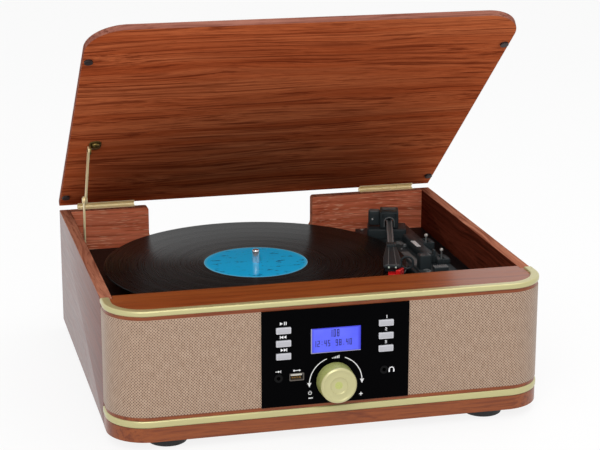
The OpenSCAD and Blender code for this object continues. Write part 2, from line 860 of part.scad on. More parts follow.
module arm_rest() {
    top = shell_z - 1.8;
    left = -6.8;
    w = 12.2;
    d = 12;
    horn_x = 7.8;
    horn_t = 2.6;
    horn_d = 6;
    bridge_h = 3;
    color("#19191b") stand() translate([arm_x, arm_y - rest_y, 0]) {
        translate([left, -d/2, base_z]) cube([w, d, top - base_z]);
        translate([left + w - 0.1, -horn_d/2, top - bridge_h])
            cube([horn_x - left - w + 0.2, horn_d, bridge_h]);
        translate([horn_x, -horn_d/2, top - bridge_h]) cube([horn_t, horn_d, bridge_h + 7]);
    }
}

module tonearm_pivot() {
    z0 = pivot_z + apart;
    slot_w = tube_d + 2;
    slot_h = tube_d + 2.2;
    block_d = 24;
    block_h = 17.6;
    lobe_w = 12.3;
    lobe_d = 13;
    lobe_front = -6;
    lobe_up = 1.6;
    color("#1f1f21") stand() on_arm() {
        difference() {
            union() {
                translate([-pivot_w/2, -block_d/2, z0]) cube([pivot_w, block_d, block_h]);
                translate([-pivot_w/2 - lobe_w, lobe_front, z0 + lobe_up])
                    cube([lobe_w + 0.1, lobe_d, block_h - lobe_up - 1]);
            }
            translate([-slot_w/2, -block_d, arm_z - slot_h/2]) cube([slot_w, 2*block_d, slot_h]);
            rod_x(-pivot_w/2 - 1, 0, arm_z, cross_pin_d + 2*slip, pivot_w + 2);
        }
        translate([0, 0, base_z - 1.6]) cylinder(d = pivot_pin_d, h = z0 - base_z + 1.7);
    }
}

module tonearm_tube() {
    tube_end = arm_len - 66;
    color("#77787a") stand() on_arm() {
        rod_y(0, -tube_end, arm_z, tube_d, tube_end + weight_y + weight_l - 2);
        rod_x(-pivot_w/2 + 0.5, 0, arm_z, cross_pin_d, pivot_w - 1);
    }
}

module counterweight() {
    color("#242426") stand() on_arm() difference() {
        rod_y(0, weight_y, arm_z, 2*tube_d, weight_l);
        rod_y(0, weight_y - 1, arm_z, tube_d, weight_l - 1);
    }
}

module headshell() {
    front = -arm_len - 4;
    rear = 66 - arm_len; // end of the tube
    wide = 26 - arm_len; // where the plate has its full width
    collar_l = 10;
    collar_w = 9;
    loop_r = 6;
    loop_z = shell_z - 0.4;
    loop_y = 17 - arm_len;
    wire = 1.2;
    color("#232326") stand() on_arm() {
        difference() {
            union() {
                translate([0, 0, shell_z]) linear_extrude(shell_t) polygon([
                    [-shell_w/2, front], [shell_w/2, front], [shell_w/2, wide],
                    [shell_neck_w/2, rear], [-shell_neck_w/2, rear], [-shell_w/2, wide]
                ]);
                translate([-collar_w/2, rear - 4, arm_z - collar_w/2]) cube([collar_w, collar_l, collar_w]);
            }
            rod_y(0, rear, arm_z, tube_d, 2*collar_l);
        }
        translate([shell_w/2 + loop_r + 0.2, loop_y, loop_z]) rotate([90, 0, 0])
            rotate_extrude() translate([loop_r, 0]) circle(wire, $fn = 24);
    }
}

module cartridge() {
    color("#111113") stand() on_arm() translate([-cartridge_w/2, -arm_len + 2, cartridge_z])
        cube([cartridge_w, 24, cartridge_h]);
}

module stylus() {
    w = 8;
    l = 30;
    h = 2.4;
    tip_d = 0.8;
    tip_z = record_top + stylus_gap;
    color("#c8141e") stand() on_arm() {
        translate([0, -arm_len - 8, cartridge_z]) rotate([-90, 0, 0]) linear_extrude(l)
            polygon([[-w/2, 0], [w/2, 0], [w/2 - 1.4, h], [-w/2 + 1.4, h]]);
        translate([0, -arm_len, tip_z]) cylinder(d = tip_d, h = cartridge_z - h - tip_z + 0.1);
    }
}

// ---- lid, hinges and stay ----

module lid_panel() {
    color("#87462a") stand() on_lid() translate([0, 0, lid_z]) linear_extrude(lid_t) plan(0, cab_d);
}

// Leaf with its knuckles: first picks the even or the odd knuckles, and z is the leaf's underside
module hinge_leaf(x, z, first, hole) {
    pitch = hinge_l/knuckles;
    difference() {
        union() {
            translate([x - hinge_l/2, cab_d - leaf_y, z]) cube([hinge_l, leaf_y, leaf_t]);
            for (i = [first:2:knuckles - 1]) translate([x - hinge_l/2 + i*pitch + 0.15, 0, 0]) {
                rod_x(0, hinge_y, hinge_z, 2*knuckle_r, pitch - 0.3);
                translate([0, cab_d - 1, z]) cube([pitch - 0.3, hinge_y - cab_d + 1, leaf_t]);
            }
        }
        rod_x(x - hinge_l, hinge_y, hinge_z, hole, 2*hinge_l);
    }
}

module cabinet_hinge_leaves() {
    color("#c9a75c") stand() for (x = [-hinge_x, hinge_x]) {
        hinge_leaf(x, cab_h, 0, hinge_pin_d);
        rod_x(x - hinge_l/2, hinge_y, hinge_z, hinge_pin_d, hinge_l);
    }
}

module lid_hinge_leaves() {
    color("#c9a75c") stand() on_lid() for (x = [-hinge_x, hinge_x]) {
        hinge_leaf(x, lid_z - leaf_t, 1, hinge_pin_d + 2*slip);
    }
}

module lid_bumpers() {
    color("#3c2a20") stand() on_lid() {
        for (x = [-1, 1]*(cab_w/2 - wall_t/2), y = [hinge_y - bumper_rear, hinge_y - bumper_front]) {
            translate([x, y, lid_z - bumper_h]) cylinder(d = bumper_d, h = bumper_h);
        }
    }
}

// Flat arm between two points of the stay's plane
module stay_arm(x, p, q, w) {
    v = q - p;
    translate([x, p[0], p[1]]) rotate([atan2(v[1], v[0]), 0, 0]) {
        translate([0, 0, -w/2]) cube([stay_t, norm(v), w]);
        rod_x(0, 0, 0, w, stay_t);
        rod_x(0, norm(v), 0, w, stay_t);
    }
}

module stay_wall_bracket() {
    plate_w = 14;
    plate_h = 20;
    color("#b8954c") stand() {
        translate([-half_in, stay_a[0] - plate_w/2, stay_a[1] - plate_h/2]) cube([1.6, plate_w, plate_h]);
        rod_x(-half_in, stay_a[0], stay_a[1], stay_pin_d, stay_low_x + stay_t + half_in + 0.2);
        rod_x(-half_in, stay_a[0], stay_a[1], stay_pin_d + 3, stay_low_x + half_in - apart);
    }
}

module stay_lower_arm() {
    color("#c9a75c") stand() difference() {
        union() {
            stay_arm(stay_low_x, stay_a, stay_m, stay_w);
            rod_x(stay_low_x - 1, stay_m[0], stay_m[1], 6, 1.1);
        }
        rod_x(stay_low_x - 1, stay_a[0], stay_a[1], stay_pin_d + 2*slip, stay_t + 2);
    }
}

module stay_upper_arm() {
    color("#c9a75c") stand() difference() {
        union() {
            stay_arm(stay_up_x, stay_m, stay_b, stay_w);
            rod_x(stay_up_x + stay_t - 0.1, stay_m[0], stay_m[1], 6, 1.1);
        }
        rod_x(stay_up_x - 1, stay_b[0], stay_b[1], stay_pin_d + 2*slip, stay_t + 2);
    }
}

module stay_lid_bracket() {
    ear_x = stay_up_x + stay_t + apart;
    y = hinge_y - stay_lid_y;
    z = lid_z - stay_lid_drop;
    color("#b8954c") stand() on_lid() {
        translate([ear_x, y - 9, lid_z - leaf_t]) cube([12, 18, leaf_t]);
        translate([ear_x, y - 4.5, z]) cube([1.4, 9, stay_lid_drop]);
        rod_x(ear_x, y, z, 9, 1.4);
        rod_x(stay_up_x - 0.3, y, z, stay_pin_d, ear_x - stay_up_x + 0.4);
    }
}

side_panel_left();
side_panel_right();
rear_panel();
base_board();
top_rail();
front_plinth();
front_baffle();
grille_left();
grille_right();
trim_upper();
trim_lower();
control_panel();
display_module();
control_board();
volume_pot();
usb_socket();
front_jacks();
speaker_left();
speaker_right();
speaker_cones();
main_board();
rear_socket_plate();
rear_sockets();
feet();
deck_plate();
drive_motor();
platter_bearing();
tonearm_base();
arm_rest();
cabinet_hinge_leaves();
stay_wall_bracket();
drive_belt();
motor_pulley();
platter();
slip_mat();
spindle();
record_disc();
record_label();
tonearm_pivot();
tonearm_tube();
counterweight();
headshell();
cartridge();
stylus();
cue_lever();
speed_lever();
autostop_switch();
lid_panel();
lid_hinge_leaves();
lid_bumpers();
stay_lid_bracket();
stay_lower_arm();
stay_upper_arm();
volume_knob();
button_left_1();
button_left_2();
button_left_3();
button_right_1();
button_right_2();
button_right_3();
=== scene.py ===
"""Looks of a stereo music centre: a wooden record player with a rounded cloth front and a lift-up lid."""

import bpy
import numpy as np
from mathutils import Matrix, Vector


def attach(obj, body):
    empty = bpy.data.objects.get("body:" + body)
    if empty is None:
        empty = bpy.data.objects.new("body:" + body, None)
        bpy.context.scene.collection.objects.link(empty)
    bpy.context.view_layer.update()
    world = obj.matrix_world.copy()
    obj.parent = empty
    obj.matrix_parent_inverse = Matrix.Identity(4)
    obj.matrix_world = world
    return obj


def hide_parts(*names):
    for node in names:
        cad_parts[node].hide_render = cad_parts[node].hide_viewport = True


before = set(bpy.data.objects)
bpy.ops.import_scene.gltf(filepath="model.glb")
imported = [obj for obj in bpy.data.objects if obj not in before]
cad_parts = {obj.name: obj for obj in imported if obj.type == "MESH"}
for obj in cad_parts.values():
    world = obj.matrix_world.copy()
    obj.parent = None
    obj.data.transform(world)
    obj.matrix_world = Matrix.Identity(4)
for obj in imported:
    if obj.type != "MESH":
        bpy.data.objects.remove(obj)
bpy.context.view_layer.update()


# ---- Camera, lamps and floor ----
# A long lens from the left of the front, a little above the lid's hinges. The room is a white studio with a
# large soft box over the front and a weaker one over the deck's right side. The floor is matt white card.

LENS_MM = 107.552
EYE = (-0.39492, -1.63247, 0.6170)
RIGHT = (0.970545, -0.240919, 0.000324)
UP = (0.064252, 0.260135, 0.963432)
AHEAD = (0.232194, 0.935034, -0.267952)

camera_data = bpy.data.cameras.new("photo_camera")
camera_data.lens = LENS_MM
camera_data.sensor_width = 36
camera_data.clip_start = 0.05
camera = bpy.data.objects.new("photo_camera", camera_data)
bpy.context.scene.collection.objects.link(camera)
turn = Matrix([RIGHT, UP, [-a for a in AHEAD]]).transposed().to_4x4()
camera.matrix_world = Matrix.Translation(EYE) @ turn
bpy.context.scene.camera = camera
bpy.context.scene.view_settings.view_transform = "Standard"


def add_node(tree, kind, inputs=None, **settings):
    """Adds a shader node with its settings. Each input is a fixed value or the socket that feeds it."""
    made = tree.nodes.new("ShaderNode" + kind)
    for key, value in settings.items():
        setattr(made, key, value)
    for key, value in (inputs or {}).items():
        if isinstance(value, bpy.types.NodeSocket):
            tree.links.new(value, made.inputs[key])
        else:
            made.inputs[key].default_value = value
    return made


def reckon(tree, operation, *terms):
    """A number worked out from one to three terms, each a fixed number or a socket."""
    return add_node(tree, "Math", dict(enumerate(terms)), operation=operation).outputs[0]


def ramp(tree, source, low, high, out_low=0.0, out_high=1.0):
    """Maps a value's range from low to high onto another range in a straight line, held at the ends."""
    inputs = {"Value": source, "From Min": low, "From Max": high, "To Min": out_low, "To Max": out_high}
    return add_node(tree, "MapRange", inputs).outputs["Result"]


def seen_share(tree, *ways):
    """The largest of the named ray kinds: 1 where one of them looks, 0 for the light that falls."""
    ray = add_node(tree, "LightPath")
    share = ray.outputs[ways[0]]
    for way in ways[1:]:
        share = reckon(tree, "MAXIMUM", share, ray.outputs[way])
    return share


ROOM_LEVEL = 0.62
world = bpy.data.worlds.new("studio")
bpy.context.scene.world = world
world.use_nodes = True
room_tree = world.node_tree
room = room_tree.nodes["Background"]
room.inputs["Color"].default_value = (1, 1, 1, 1)
room_seen = seen_share(room_tree, "Is Camera Ray", "Is Glossy Ray", "Is Transmission Ray")
room_tree.links.new(ramp(room_tree, room_seen, 0.0, 1.0, ROOM_LEVEL, 1.0), room.inputs["Strength"])


def soft_box(name, place, aim, size, power):
    """A square area lamp at a place, turned towards a point."""
    data = bpy.data.lights.new(name, "AREA")
    data.size = size
    data.energy = power
    lamp = bpy.data.objects.new(name, data)
    bpy.context.scene.collection.objects.link(lamp)
    towards = (Vector(aim) - Vector(place)).to_track_quat("-Z", "Y")
    lamp.matrix_world = Matrix.Translation(place) @ towards.to_matrix().to_4x4()


soft_box("front_box", (-0.5, -1.5, 1.5), (0, 0, 0.1), 1.2, 20)
soft_box("top_box", (0.5, 0.1, 1.7), (0, 0.1, 0.1), 1.0, 8)

FLOOR = 6.0
FLOOR_GLOW = 0.86
floor_mesh = bpy.data.meshes.new("floor")
corners = [(-FLOOR, -FLOOR, 0), (FLOOR, -FLOOR, 0), (FLOOR, FLOOR, 0), (-FLOOR, FLOOR, 0)]
floor_mesh.from_pydata(corners, [], [(0, 1, 2, 3)])
floor = bpy.data.objects.new("floor", floor_mesh)
bpy.context.scene.collection.objects.link(floor)
floor_look = bpy.data.materials.new("floor_white")
floor_look.use_nodes = True
floor_tree = floor_look.node_tree
floor_base = floor_tree.nodes["Principled BSDF"]
floor_base.inputs["Base Color"].default_value = (0.9, 0.9, 0.9, 1)
floor_base.inputs["Roughness"].default_value = 0.6
floor_light = add_node(floor_tree, "Emission")
floor_seen = seen_share(floor_tree, "Is Camera Ray", "Is Glossy Ray")
floor_share = reckon(floor_tree, "MULTIPLY", floor_seen, FLOOR_GLOW)
floor_mix = add_node(floor_tree, "MixShader", {"Fac": floor_share, 1: floor_base.outputs["BSDF"],
                                               2: floor_light.outputs["Emission"]})
floor_tree.links.new(floor_mix.outputs["Shader"], floor_tree.nodes["Material Output"].inputs["Surface"])
floor_mesh.materials.append(floor_look)


# ---- Side boards and rear board ----
# 11 mm boards of pressed fibre with a printed red-brown wood film, glued and pinned at the corners. The
# outside is varnished to a gloss, the inside is left satin. The grain runs along each board. The side boards'
# inner faces get darker tones, painted shade, and the rear board's inner face much lighter tones, painted
# light.

# The feet's height, the middle of the whole depth, and the cabinet without its feet, in millimetres.
FOOT_H = 9.0
MID_Y = 174.25
CAB_W = 405.0
CAB_D = 362.0
CAB_H = 120.0
WALL_T = 11.0
CORNER_R = 37.0
SIDE_Y = 48.5
DECK_Z = 78.0
DECK_T = 3.0


def placed(points):
    """Millimetres from the middle, the cloth's front plane and the plinth's underside, as metres."""
    return (np.asarray(points, float) + [0, -MID_Y, FOOT_H]) / 1000


def drawn_in(outline, d):
    """A counter-clockwise outline moved inwards by d: each corner moves along its mitre."""
    edge = np.roll(outline, -1, 0) - outline
    after = np.stack([edge[:, 1], -edge[:, 0]], 1)
    after /= np.linalg.norm(after, axis=1, keepdims=True)
    before = np.roll(after, 1, 0)
    return outline - d * (after + before) / (1 + (after * before).sum(1, keepdims=True))


def arc(cx, cy, r, a0, a1, n):
    """n points on a circle's arc, from angle a0 to a1 in degrees."""
    a = np.radians(np.linspace(a0, a1, n))
    return np.stack([cx + r * np.cos(a), cy + r * np.sin(a)], 1)


def rounded(x0, y0, x1, y1, r=0.8, n=4):
    """Counter-clockwise outline of a rectangle with four round corners of radius r."""
    return np.vstack([arc(x1 - r, y0 + r, r, -90, 0, n), arc(x1 - r, y1 - r, r, 0, 90, n),
                      arc(x0 + r, y1 - r, r, 90, 180, n), arc(x0 + r, y0 + r, r, 180, 270, n)])


# For each plane, which of a ring's own axes become X, Y and Z, and whether its faces are turned over.
PLANES = {"xy": ([0, 1, 2], False), "yz": ([2, 0, 1], False), "xz": ([0, 2, 1], True)}


def loft(rings, plane="xy", closed=False):
    """Joins rings of equal length into a tube of quads. Its ends are capped, or joined when closed."""
    order, flip = PLANES[plane]
    m, n = rings.shape[:2]
    i = np.arange(m if closed else m - 1)[:, None]
    j = np.arange(n)[None, :]
    k = (j + 1) % n
    up = (i + 1) % m
    quads = np.stack([i * n + j, i * n + k, up * n + k, up * n + j], -1).reshape(-1, 4)
    faces = quads.tolist()
    if not closed:
        faces += [list(range(n))[::-1], list(range((m - 1) * n, m * n))]
    if flip:
        faces = [f[::-1] for f in faces]
    return rings.reshape(-1, 3)[:, order], faces


def slab(outline, low, high, edge=0.6, plane="xy", steps=4):
    """An outline carried from low to high, with its rims rounded by a quarter circle of radius edge."""
    a = np.radians(np.linspace(0, 90, steps))
    inset = np.concatenate([edge * (1 - np.sin(a)), (edge * (1 - np.sin(a)))[::-1]])
    level = np.concatenate([low + edge * (1 - np.cos(a)), (high - edge * (1 - np.cos(a)))[::-1]])
    rings = [np.column_stack([drawn_in(outline, d), np.full(len(outline), w)]) for d, w in zip(inset, level)]
    return loft(np.array(rings), plane)


def block(low, high, edge=0.6, r=0.8):
    """A box between two corners with eased edges."""
    return slab(rounded(low[0], low[1], high[0], high[1], r), low[2], high[2], edge)


def make_mesh(name, parts, uv=None, sharp=35.0):
    """One mesh in metres from lists of points and faces. Faces of more than four corners are shaded flat."""
    offset = np.cumsum([0] + [len(p[0]) for p in parts])
    points = np.vstack([p[0] for p in parts])
    faces = [[q + int(o) for q in f] for (_, fs), o in zip(parts, offset) for f in fs]
    mesh = bpy.data.meshes.new(name)
    mesh.from_pydata(points.tolist(), [], faces)
    mesh.validate()
    corners = np.empty(len(mesh.polygons), np.int32)
    mesh.polygons.foreach_get("loop_total", corners)
    mesh.polygons.foreach_set("use_smooth", corners <= 4)
    mesh.set_sharp_from_angle(angle=np.radians(sharp))
    if uv is not None:
        corner = np.empty(len(mesh.loops), np.int32)
        mesh.loops.foreach_get("vertex_index", corner)
        layer = mesh.uv_layers.new(name="along_surface")
        layer.data.foreach_set("uv", uv[corner].ravel())
    mesh.update()
    return mesh


def piece(name, parts, look, body, stands_for=(), place=placed, uv=None, sharp=35.0):
    """Makes a piece from parts in millimetres, gives it its finish, and lets it ride on its body."""
    mesh = make_mesh(name, [(place(p), f) for p, f in parts], uv, sharp)
    mesh.materials.append(look)
    made = bpy.data.objects.new(name, mesh)
    bpy.context.scene.collection.objects.link(made)
    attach(made, body)
    if stands_for:
        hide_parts(*stands_for)
    return made


def refinish(made, look, chosen):
    """Gives a second finish to the faces of a piece that chosen picks by centre and outward direction."""
    mesh = made.data
    mesh.materials.append(look)
    count = len(mesh.polygons)
    centre, facing, index = np.empty(3 * count), np.empty(3 * count), np.empty(count, np.int32)
    mesh.polygons.foreach_get("center", centre)
    mesh.polygons.foreach_get("normal", facing)
    mesh.polygons.foreach_get("material_index", index)
    index[chosen(centre.reshape(-1, 3), facing.reshape(-1, 3))] = len(mesh.materials) - 1
    mesh.polygons.foreach_set("material_index", index)
    mesh.update()


def srgb(r, g, b):
    """A colour from 0 to 255 as the linear colour that a shader takes."""
    c = np.array([r, g, b]) / 255
    lin = np.where(c <= 0.04045, c / 12.92, ((c + 0.055) / 1.055) ** 2.4)
    return (*lin.tolist(), 1.0)


def new_group(name, inputs, outputs):
    """An empty shader group: its inputs are (name, kind, value) and its outputs are (name, kind)."""
    group = bpy.data.node_groups.new(name, "ShaderNodeTree")
    for label, kind, value in inputs:
        socket = group.interface.new_socket(label, in_out="INPUT", socket_type="NodeSocket" + kind)
        if value is not None:
            socket.default_value = value
    for label, kind in outputs:
        group.interface.new_socket(label, in_out="OUTPUT", socket_type="NodeSocket" + kind)
    return group, group.nodes.new("NodeGroupInput"), group.nodes.new("NodeGroupOutput")


def mix(tree, factor, a, b):
    """A colour between a and b by a factor; each is a socket or fixed."""
    return add_node(tree, "Mix", {0: factor, 6: a, 7: b}, data_type="RGBA").outputs[2]


TONES = ("Dark", "Middle", "Light", "Pore")


def wood_group():
    """Grain along X: broad bands bent by a slow warp, long dark lines, fine streaks and short pores."""
    group, start, end = new_group(
        "wood_grain",
        [("Vector", "Vector", None)] + [(tone, "Color", None) for tone in TONES],
        [("Color", "Color"), ("Roughness", "Float"), ("Height", "Float")])
    metres = start.outputs["Vector"]

    def stretched(source, scale, detail, rough=0.5, part="Fac"):
        """Noise drawn out along X by a different scale for each axis."""
        laid = add_node(group, "Mapping", {"Scale": scale, "Vector": source})
        inputs = {"Scale": 1.0, "Detail": detail, "Roughness": rough, "Vector": laid.outputs[0]}
        return add_node(group, "TexNoise", inputs).outputs[part]

    warp = stretched(metres, (3.0, 12, 12), 2.0, part="Color")
    lift = add_node(group, "VectorMath", {0: warp, 1: (0.0, 0.045, 0.045)}, operation="MULTIPLY").outputs[0]
    bent = add_node(group, "VectorMath", {0: metres, 1: lift}, operation="ADD").outputs[0]
    band = ramp(group, stretched(bent, (2.6, 60, 60), 2.0), 0.34, 0.66)
    lines = ramp(group, stretched(bent, (3.2, 300, 300), 3.0, 0.6), 0.51, 0.63, 0.0, 0.72)
    streaks = stretched(bent, (8, 560, 560), 4.0, 0.65)
    pores = stretched(bent, (60, 1000, 1000), 1.0)
    tone = mix(group, band, start.outputs["Middle"], start.outputs["Light"])
    tone = mix(group, ramp(group, streaks, 0.40, 0.66, 0.0, 0.5), tone, start.outputs["Dark"])
    tone = mix(group, lines, tone, start.outputs["Dark"])
    tone = mix(group, ramp(group, pores, 0.60, 0.72, 0.0, 0.5), tone, start.outputs["Pore"])
    group.links.new(tone, end.inputs["Color"])
    group.links.new(ramp(group, streaks, 0.3, 0.7, 0.50, 0.38), end.inputs["Roughness"])
    group.links.new(ramp(group, pores, 0.55, 0.75, 1.0, 0.0), end.inputs["Height"])
    return group


def blank(name, coat=0.0, metallic=0.0, **sockets):
    """A material and its shader, with the values that are the same all over set on the shader."""
    look = bpy.data.materials.new(name)
    look.use_nodes = True
    shader = look.node_tree.nodes["Principled BSDF"]
    shader.inputs["Coat Weight"].default_value = coat
    shader.inputs["Metallic"].default_value = metallic
    for key, value in sockets.items():
        shader.inputs[key.replace("_", " ").title().replace("Ior", "IOR")].default_value = value
    return look, look.node_tree, shader


def bumped(tree, shader, height, strength, distance, **settings):
    """Tilts the shader's normal by a height from 0 to 1 that stands for a distance in metres."""
    bump = add_node(tree, "Bump", {"Strength": strength, "Distance": distance, "Height": height}, **settings)
    tree.links.new(bump.outputs["Normal"], shader.inputs["Normal"])


def surface(tree, shader, group, strength, distance, inputs):
    """Places a group, feeds its colour and roughness to the shader, and its height through a bump."""
    made = add_node(tree, "Group", inputs, node_tree=group)
    tree.links.new(made.outputs["Color"], shader.inputs["Base Color"])
    tree.links.new(made.outputs["Roughness"], shader.inputs["Roughness"])
    bumped(tree, shader, made.outputs["Height"], strength, distance)


wood_grain = wood_group()
PORE_DEPTH = 0.0002
GLOSSY = {"coat": 0.42, "coat_roughness": 0.2, "specular_ior_level": 0.2}
SATIN = {"specular_ior_level": 0.0}


def wood(name, dark, middle, light, finish, angles=(0, 0, 0), shift=(0, 0, 0), pore=None):
    """Wood film whose grain runs along X, or along another axis where the pattern is turned by angles."""
    look, tree, shader = blank(name, **finish)
    spot = add_node(tree, "TexCoord").outputs["Object"]
    laid = add_node(tree, "Mapping", {"Rotation": angles, "Location": shift, "Vector": spot})
    tones = {tone: srgb(*colour) for tone, colour in zip(TONES, (dark, middle, light, pore or dark))}
    surface(tree, shader, wood_grain, 0.2, PORE_DEPTH, {"Vector": laid.outputs[0], **tones})
    return look


ALONG_Y = (0, 0, np.pi / 2)
RED_BROWN = (70, 24, 12), (122, 56, 32), (142, 72, 44)
side_gloss = wood("side_gloss", (92, 44, 32), (112, 54, 40), (120, 62, 46), GLOSSY,
                  ALONG_Y, (0.31, 0.17, 0.05))
side_edge = wood("side_edge", (112, 58, 42), (166, 104, 80), (184, 124, 98), SATIN,
                 ALONG_Y, (0.11, 0.27, 0.15))
# Painted shade: the side boards' inner faces are given darker tones than their outside film.
side_inside_painted_shade = wood("side_inside_painted_shade", (52, 21, 12), (88, 38, 24), (112, 54, 38), SATIN,
                   ALONG_Y, (0.21, 0.37, 0.45))
rear_gloss = wood("rear_gloss", *RED_BROWN, GLOSSY, shift=(0.4, 0.1, 0.2))
# Painted light: the rear board's inner face is given much lighter tones than its outside film.
rear_inside_painted_light = wood("rear_inside_painted_light", (150, 66, 44), (212, 112, 78), (232, 140, 106), SATIN,
                   shift=(0.2, 0.3, 0.1), pore=(255, 206, 168))

SIDES = (("left", -1), ("right", 1))
LEDGE = 8.0
LEDGE_TOP = DECK_Z - DECK_T
LEDGE_RUNS = {"left": [(58.0, 206.5), (325.0, 351.0)], "right": [(58.0, 351.0)]}
for name, side in SIDES:
    inner, outer = side * (CAB_W / 2 - WALL_T), side * CAB_W / 2
    tip = inner - side * LEDGE
    board = slab(rounded(SIDE_Y, 0, CAB_D, CAB_H, 0.6), min(inner, outer), max(inner, outer), 0.7, "yz")
    ledges = [block((min(inner, tip), y0, LEDGE_TOP - LEDGE), (max(inner, tip), y1, LEDGE_TOP))
              for y0, y1 in LEDGE_RUNS[name]]
    made = piece("side_board_" + name, [board] + ledges, side_gloss, "cabinet",
                 ["side_panel_" + name])
    refinish(made, side_edge, lambda at, to: to[:, 2] > 0.5)
    refinish(made, side_inside_painted_shade, lambda at, to: to[:, 0] * side < -0.5)

SPIN = (-25.5, 212.0)
NOTCH = (SPIN[0] - 84.5, SPIN[0] + 93.5)
NOTCH_Z = 84.3
NOTCH_R, NOTCH_TOP_R = 8.0, 3.0
half_in = CAB_W / 2 - WALL_T
rear_outline = np.vstack([
    [[-half_in, 0], [half_in, 0], [half_in, CAB_H]],
    arc(NOTCH[1] + NOTCH_TOP_R, CAB_H - NOTCH_TOP_R, NOTCH_TOP_R, 90, 180, 6),
    arc(NOTCH[1] - NOTCH_R, NOTCH_Z + NOTCH_R, NOTCH_R, 0, -90, 10),
    arc(NOTCH[0] + NOTCH_R, NOTCH_Z + NOTCH_R, NOTCH_R, -90, -180, 10),
    arc(NOTCH[0] - NOTCH_TOP_R, CAB_H - NOTCH_TOP_R, NOTCH_TOP_R, 0, 90, 6),
    [[-half_in, CAB_H]]])
made = piece("rear_board", [slab(rear_outline, CAB_D - WALL_T, CAB_D, 0.4, "xz")], rear_gloss, "cabinet",
             ["rear_panel"])
refinish(made, side_edge, lambda at, to: np.abs(to[:, 1]) < 0.5)
refinish(made, rear_inside_painted_light, lambda at, to: to[:, 1] < -0.5)


# ---- Base board, rail and plinth ----
# The rail in front of the lid opening and the plinth under the cloth carry the same wood film. Both follow
# the two round front corners. The base board and the board behind the cloth are left raw.


def speckle_group():
    """Slight mottling of a moulded or painted surface: a slow cloud and a fine grain on one colour."""
    group, start, end = new_group(
        "fine_speckle",
        [("Vector", "Vector", None), ("Base", "Color", None), ("Spread", "Float", 0.2),
         ("Grain", "Float", 900.0), ("Smooth", "Float", 0.3), ("Rough", "Float", 0.5)],
        [("Color", "Color"), ("Roughness", "Float"), ("Height", "Float")])
    given = start.outputs
    cloud, grain = [add_node(group, "TexNoise", {"Scale": scale, "Detail": 2.0, "Vector": given["Vector"]})
                    .outputs["Fac"] for scale in (35.0, given["Grain"])]
    centred = reckon(group, "SUBTRACT", reckon(group, "ADD", cloud, grain), 1.0)
    swing = reckon(group, "MULTIPLY_ADD", centred, given["Spread"], 1.0)
    tinted = add_node(group, "VectorMath", {0: given["Base"], "Scale": swing}, operation="SCALE")
    group.links.new(tinted.outputs[0], end.inputs["Color"])
    group.links.new(ramp(group, grain, 0.35, 0.65, given["Smooth"], given["Rough"]), end.inputs["Roughness"])
    group.links.new(grain, end.inputs["Height"])
    return group


fine_speckle = speckle_group()
SPECKLE_DEPTH = 0.0001


def plain(name, colour, smooth, rough, coat=0.0, metallic=0.0, spread=0.2, grain=900.0, bump=0.08, **sockets):
    """A moulded, painted, plated or raw surface of one colour, with slight mottling and a fine tooth."""
    look, tree, shader = blank(name, coat, metallic, **sockets)
    surface(tree, shader, fine_speckle, bump, SPECKLE_DEPTH,
            {"Vector": add_node(tree, "TexCoord").outputs["Object"], "Base": srgb(*colour), "Spread": spread,
             "Grain": grain, "Smooth": smooth, "Rough": rough})
    return look


def dress(look, *nodes):
    """Gives CAD nodes their finish."""
    for node in nodes:
        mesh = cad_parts[node].data
        mesh.materials.clear()
        mesh.materials.append(look)


raw_board = plain("raw_board", (178, 146, 104), 0.7, 0.9, spread=0.5, grain=500.0, bump=0.3)
dress(raw_board, "base_board", "front_baffle")
rail_wood = wood("rail_wood", (104, 42, 12), (136, 66, 26), (148, 78, 34), GLOSSY, shift=(0.11, 0.43, 0.21))
dress(rail_wood, "top_rail", "front_plinth")


# ---- Metal trims ----
# Two bent aluminium bands, lacquered a pale greenish gold and pressed round the front above and below the
# cloth. Their long edges are rounded.


def front_line(n=24):
    """Points along the front from left to right, their outward directions, and the length run so far."""
    half = CAB_W / 2 - CORNER_R
    side_run = np.linspace(SIDE_Y, CORNER_R, 3)[:-1]
    left = arc(-half, CORNER_R, CORNER_R, 180, 270, n)
    right = arc(half, CORNER_R, CORNER_R, 270, 360, n)
    flat = np.column_stack([np.linspace(-half, half, 9)[1:-1], np.zeros(7)])
    start = np.column_stack([np.full(2, -CAB_W / 2), side_run])
    end = np.column_stack([np.full(2, CAB_W / 2), side_run[::-1]])
    line = np.vstack([start, left, flat, right, end])
    out = np.vstack([np.tile([-1, 0], (2, 1)), arc(0, 0, 1, 180, 270, n), np.tile([0, -1], (7, 1)),
                     arc(0, 0, 1, 270, 360, n), np.tile([1, 0], (2, 1))])
    run = np.concatenate([[0], np.cumsum(np.linalg.norm(np.diff(line, axis=0), axis=1))])
    return line, out, run


def carried(profile, line, out):
    """A closed profile of (outwards, height), carried along a line on the ground with outward directions."""
    rings = np.empty((len(line), len(profile), 3))
    rings[..., 0] = line[:, None, 0] + out[:, None, 0] * profile[None, :, 0]
    rings[..., 1] = line[:, None, 1] + out[:, None, 1] * profile[None, :, 0]
    rings[..., 2] = profile[None, :, 1]
    points, faces = loft(rings)
    return points, [f[::-1] for f in faces]


TRIM_OUT = 0.6
TRIM_R = 1.7
gold = plain("pale_gold", (192, 185, 134), 0.28, 0.34, metallic=0.45, spread=0.03, grain=1500.0, bump=0.01)
line, out, _ = front_line()
for name, depth, low, high in (("upper", 8.6, 116.2, 121.4), ("lower", 4.6, 13.2, 19.9)):
    band = rounded(TRIM_OUT - depth, low, TRIM_OUT, high, TRIM_R, 8)
    piece("trim_band_" + name, [carried(band, line, out)], gold, "cabinet", ["trim_" + name],
          sharp=60)
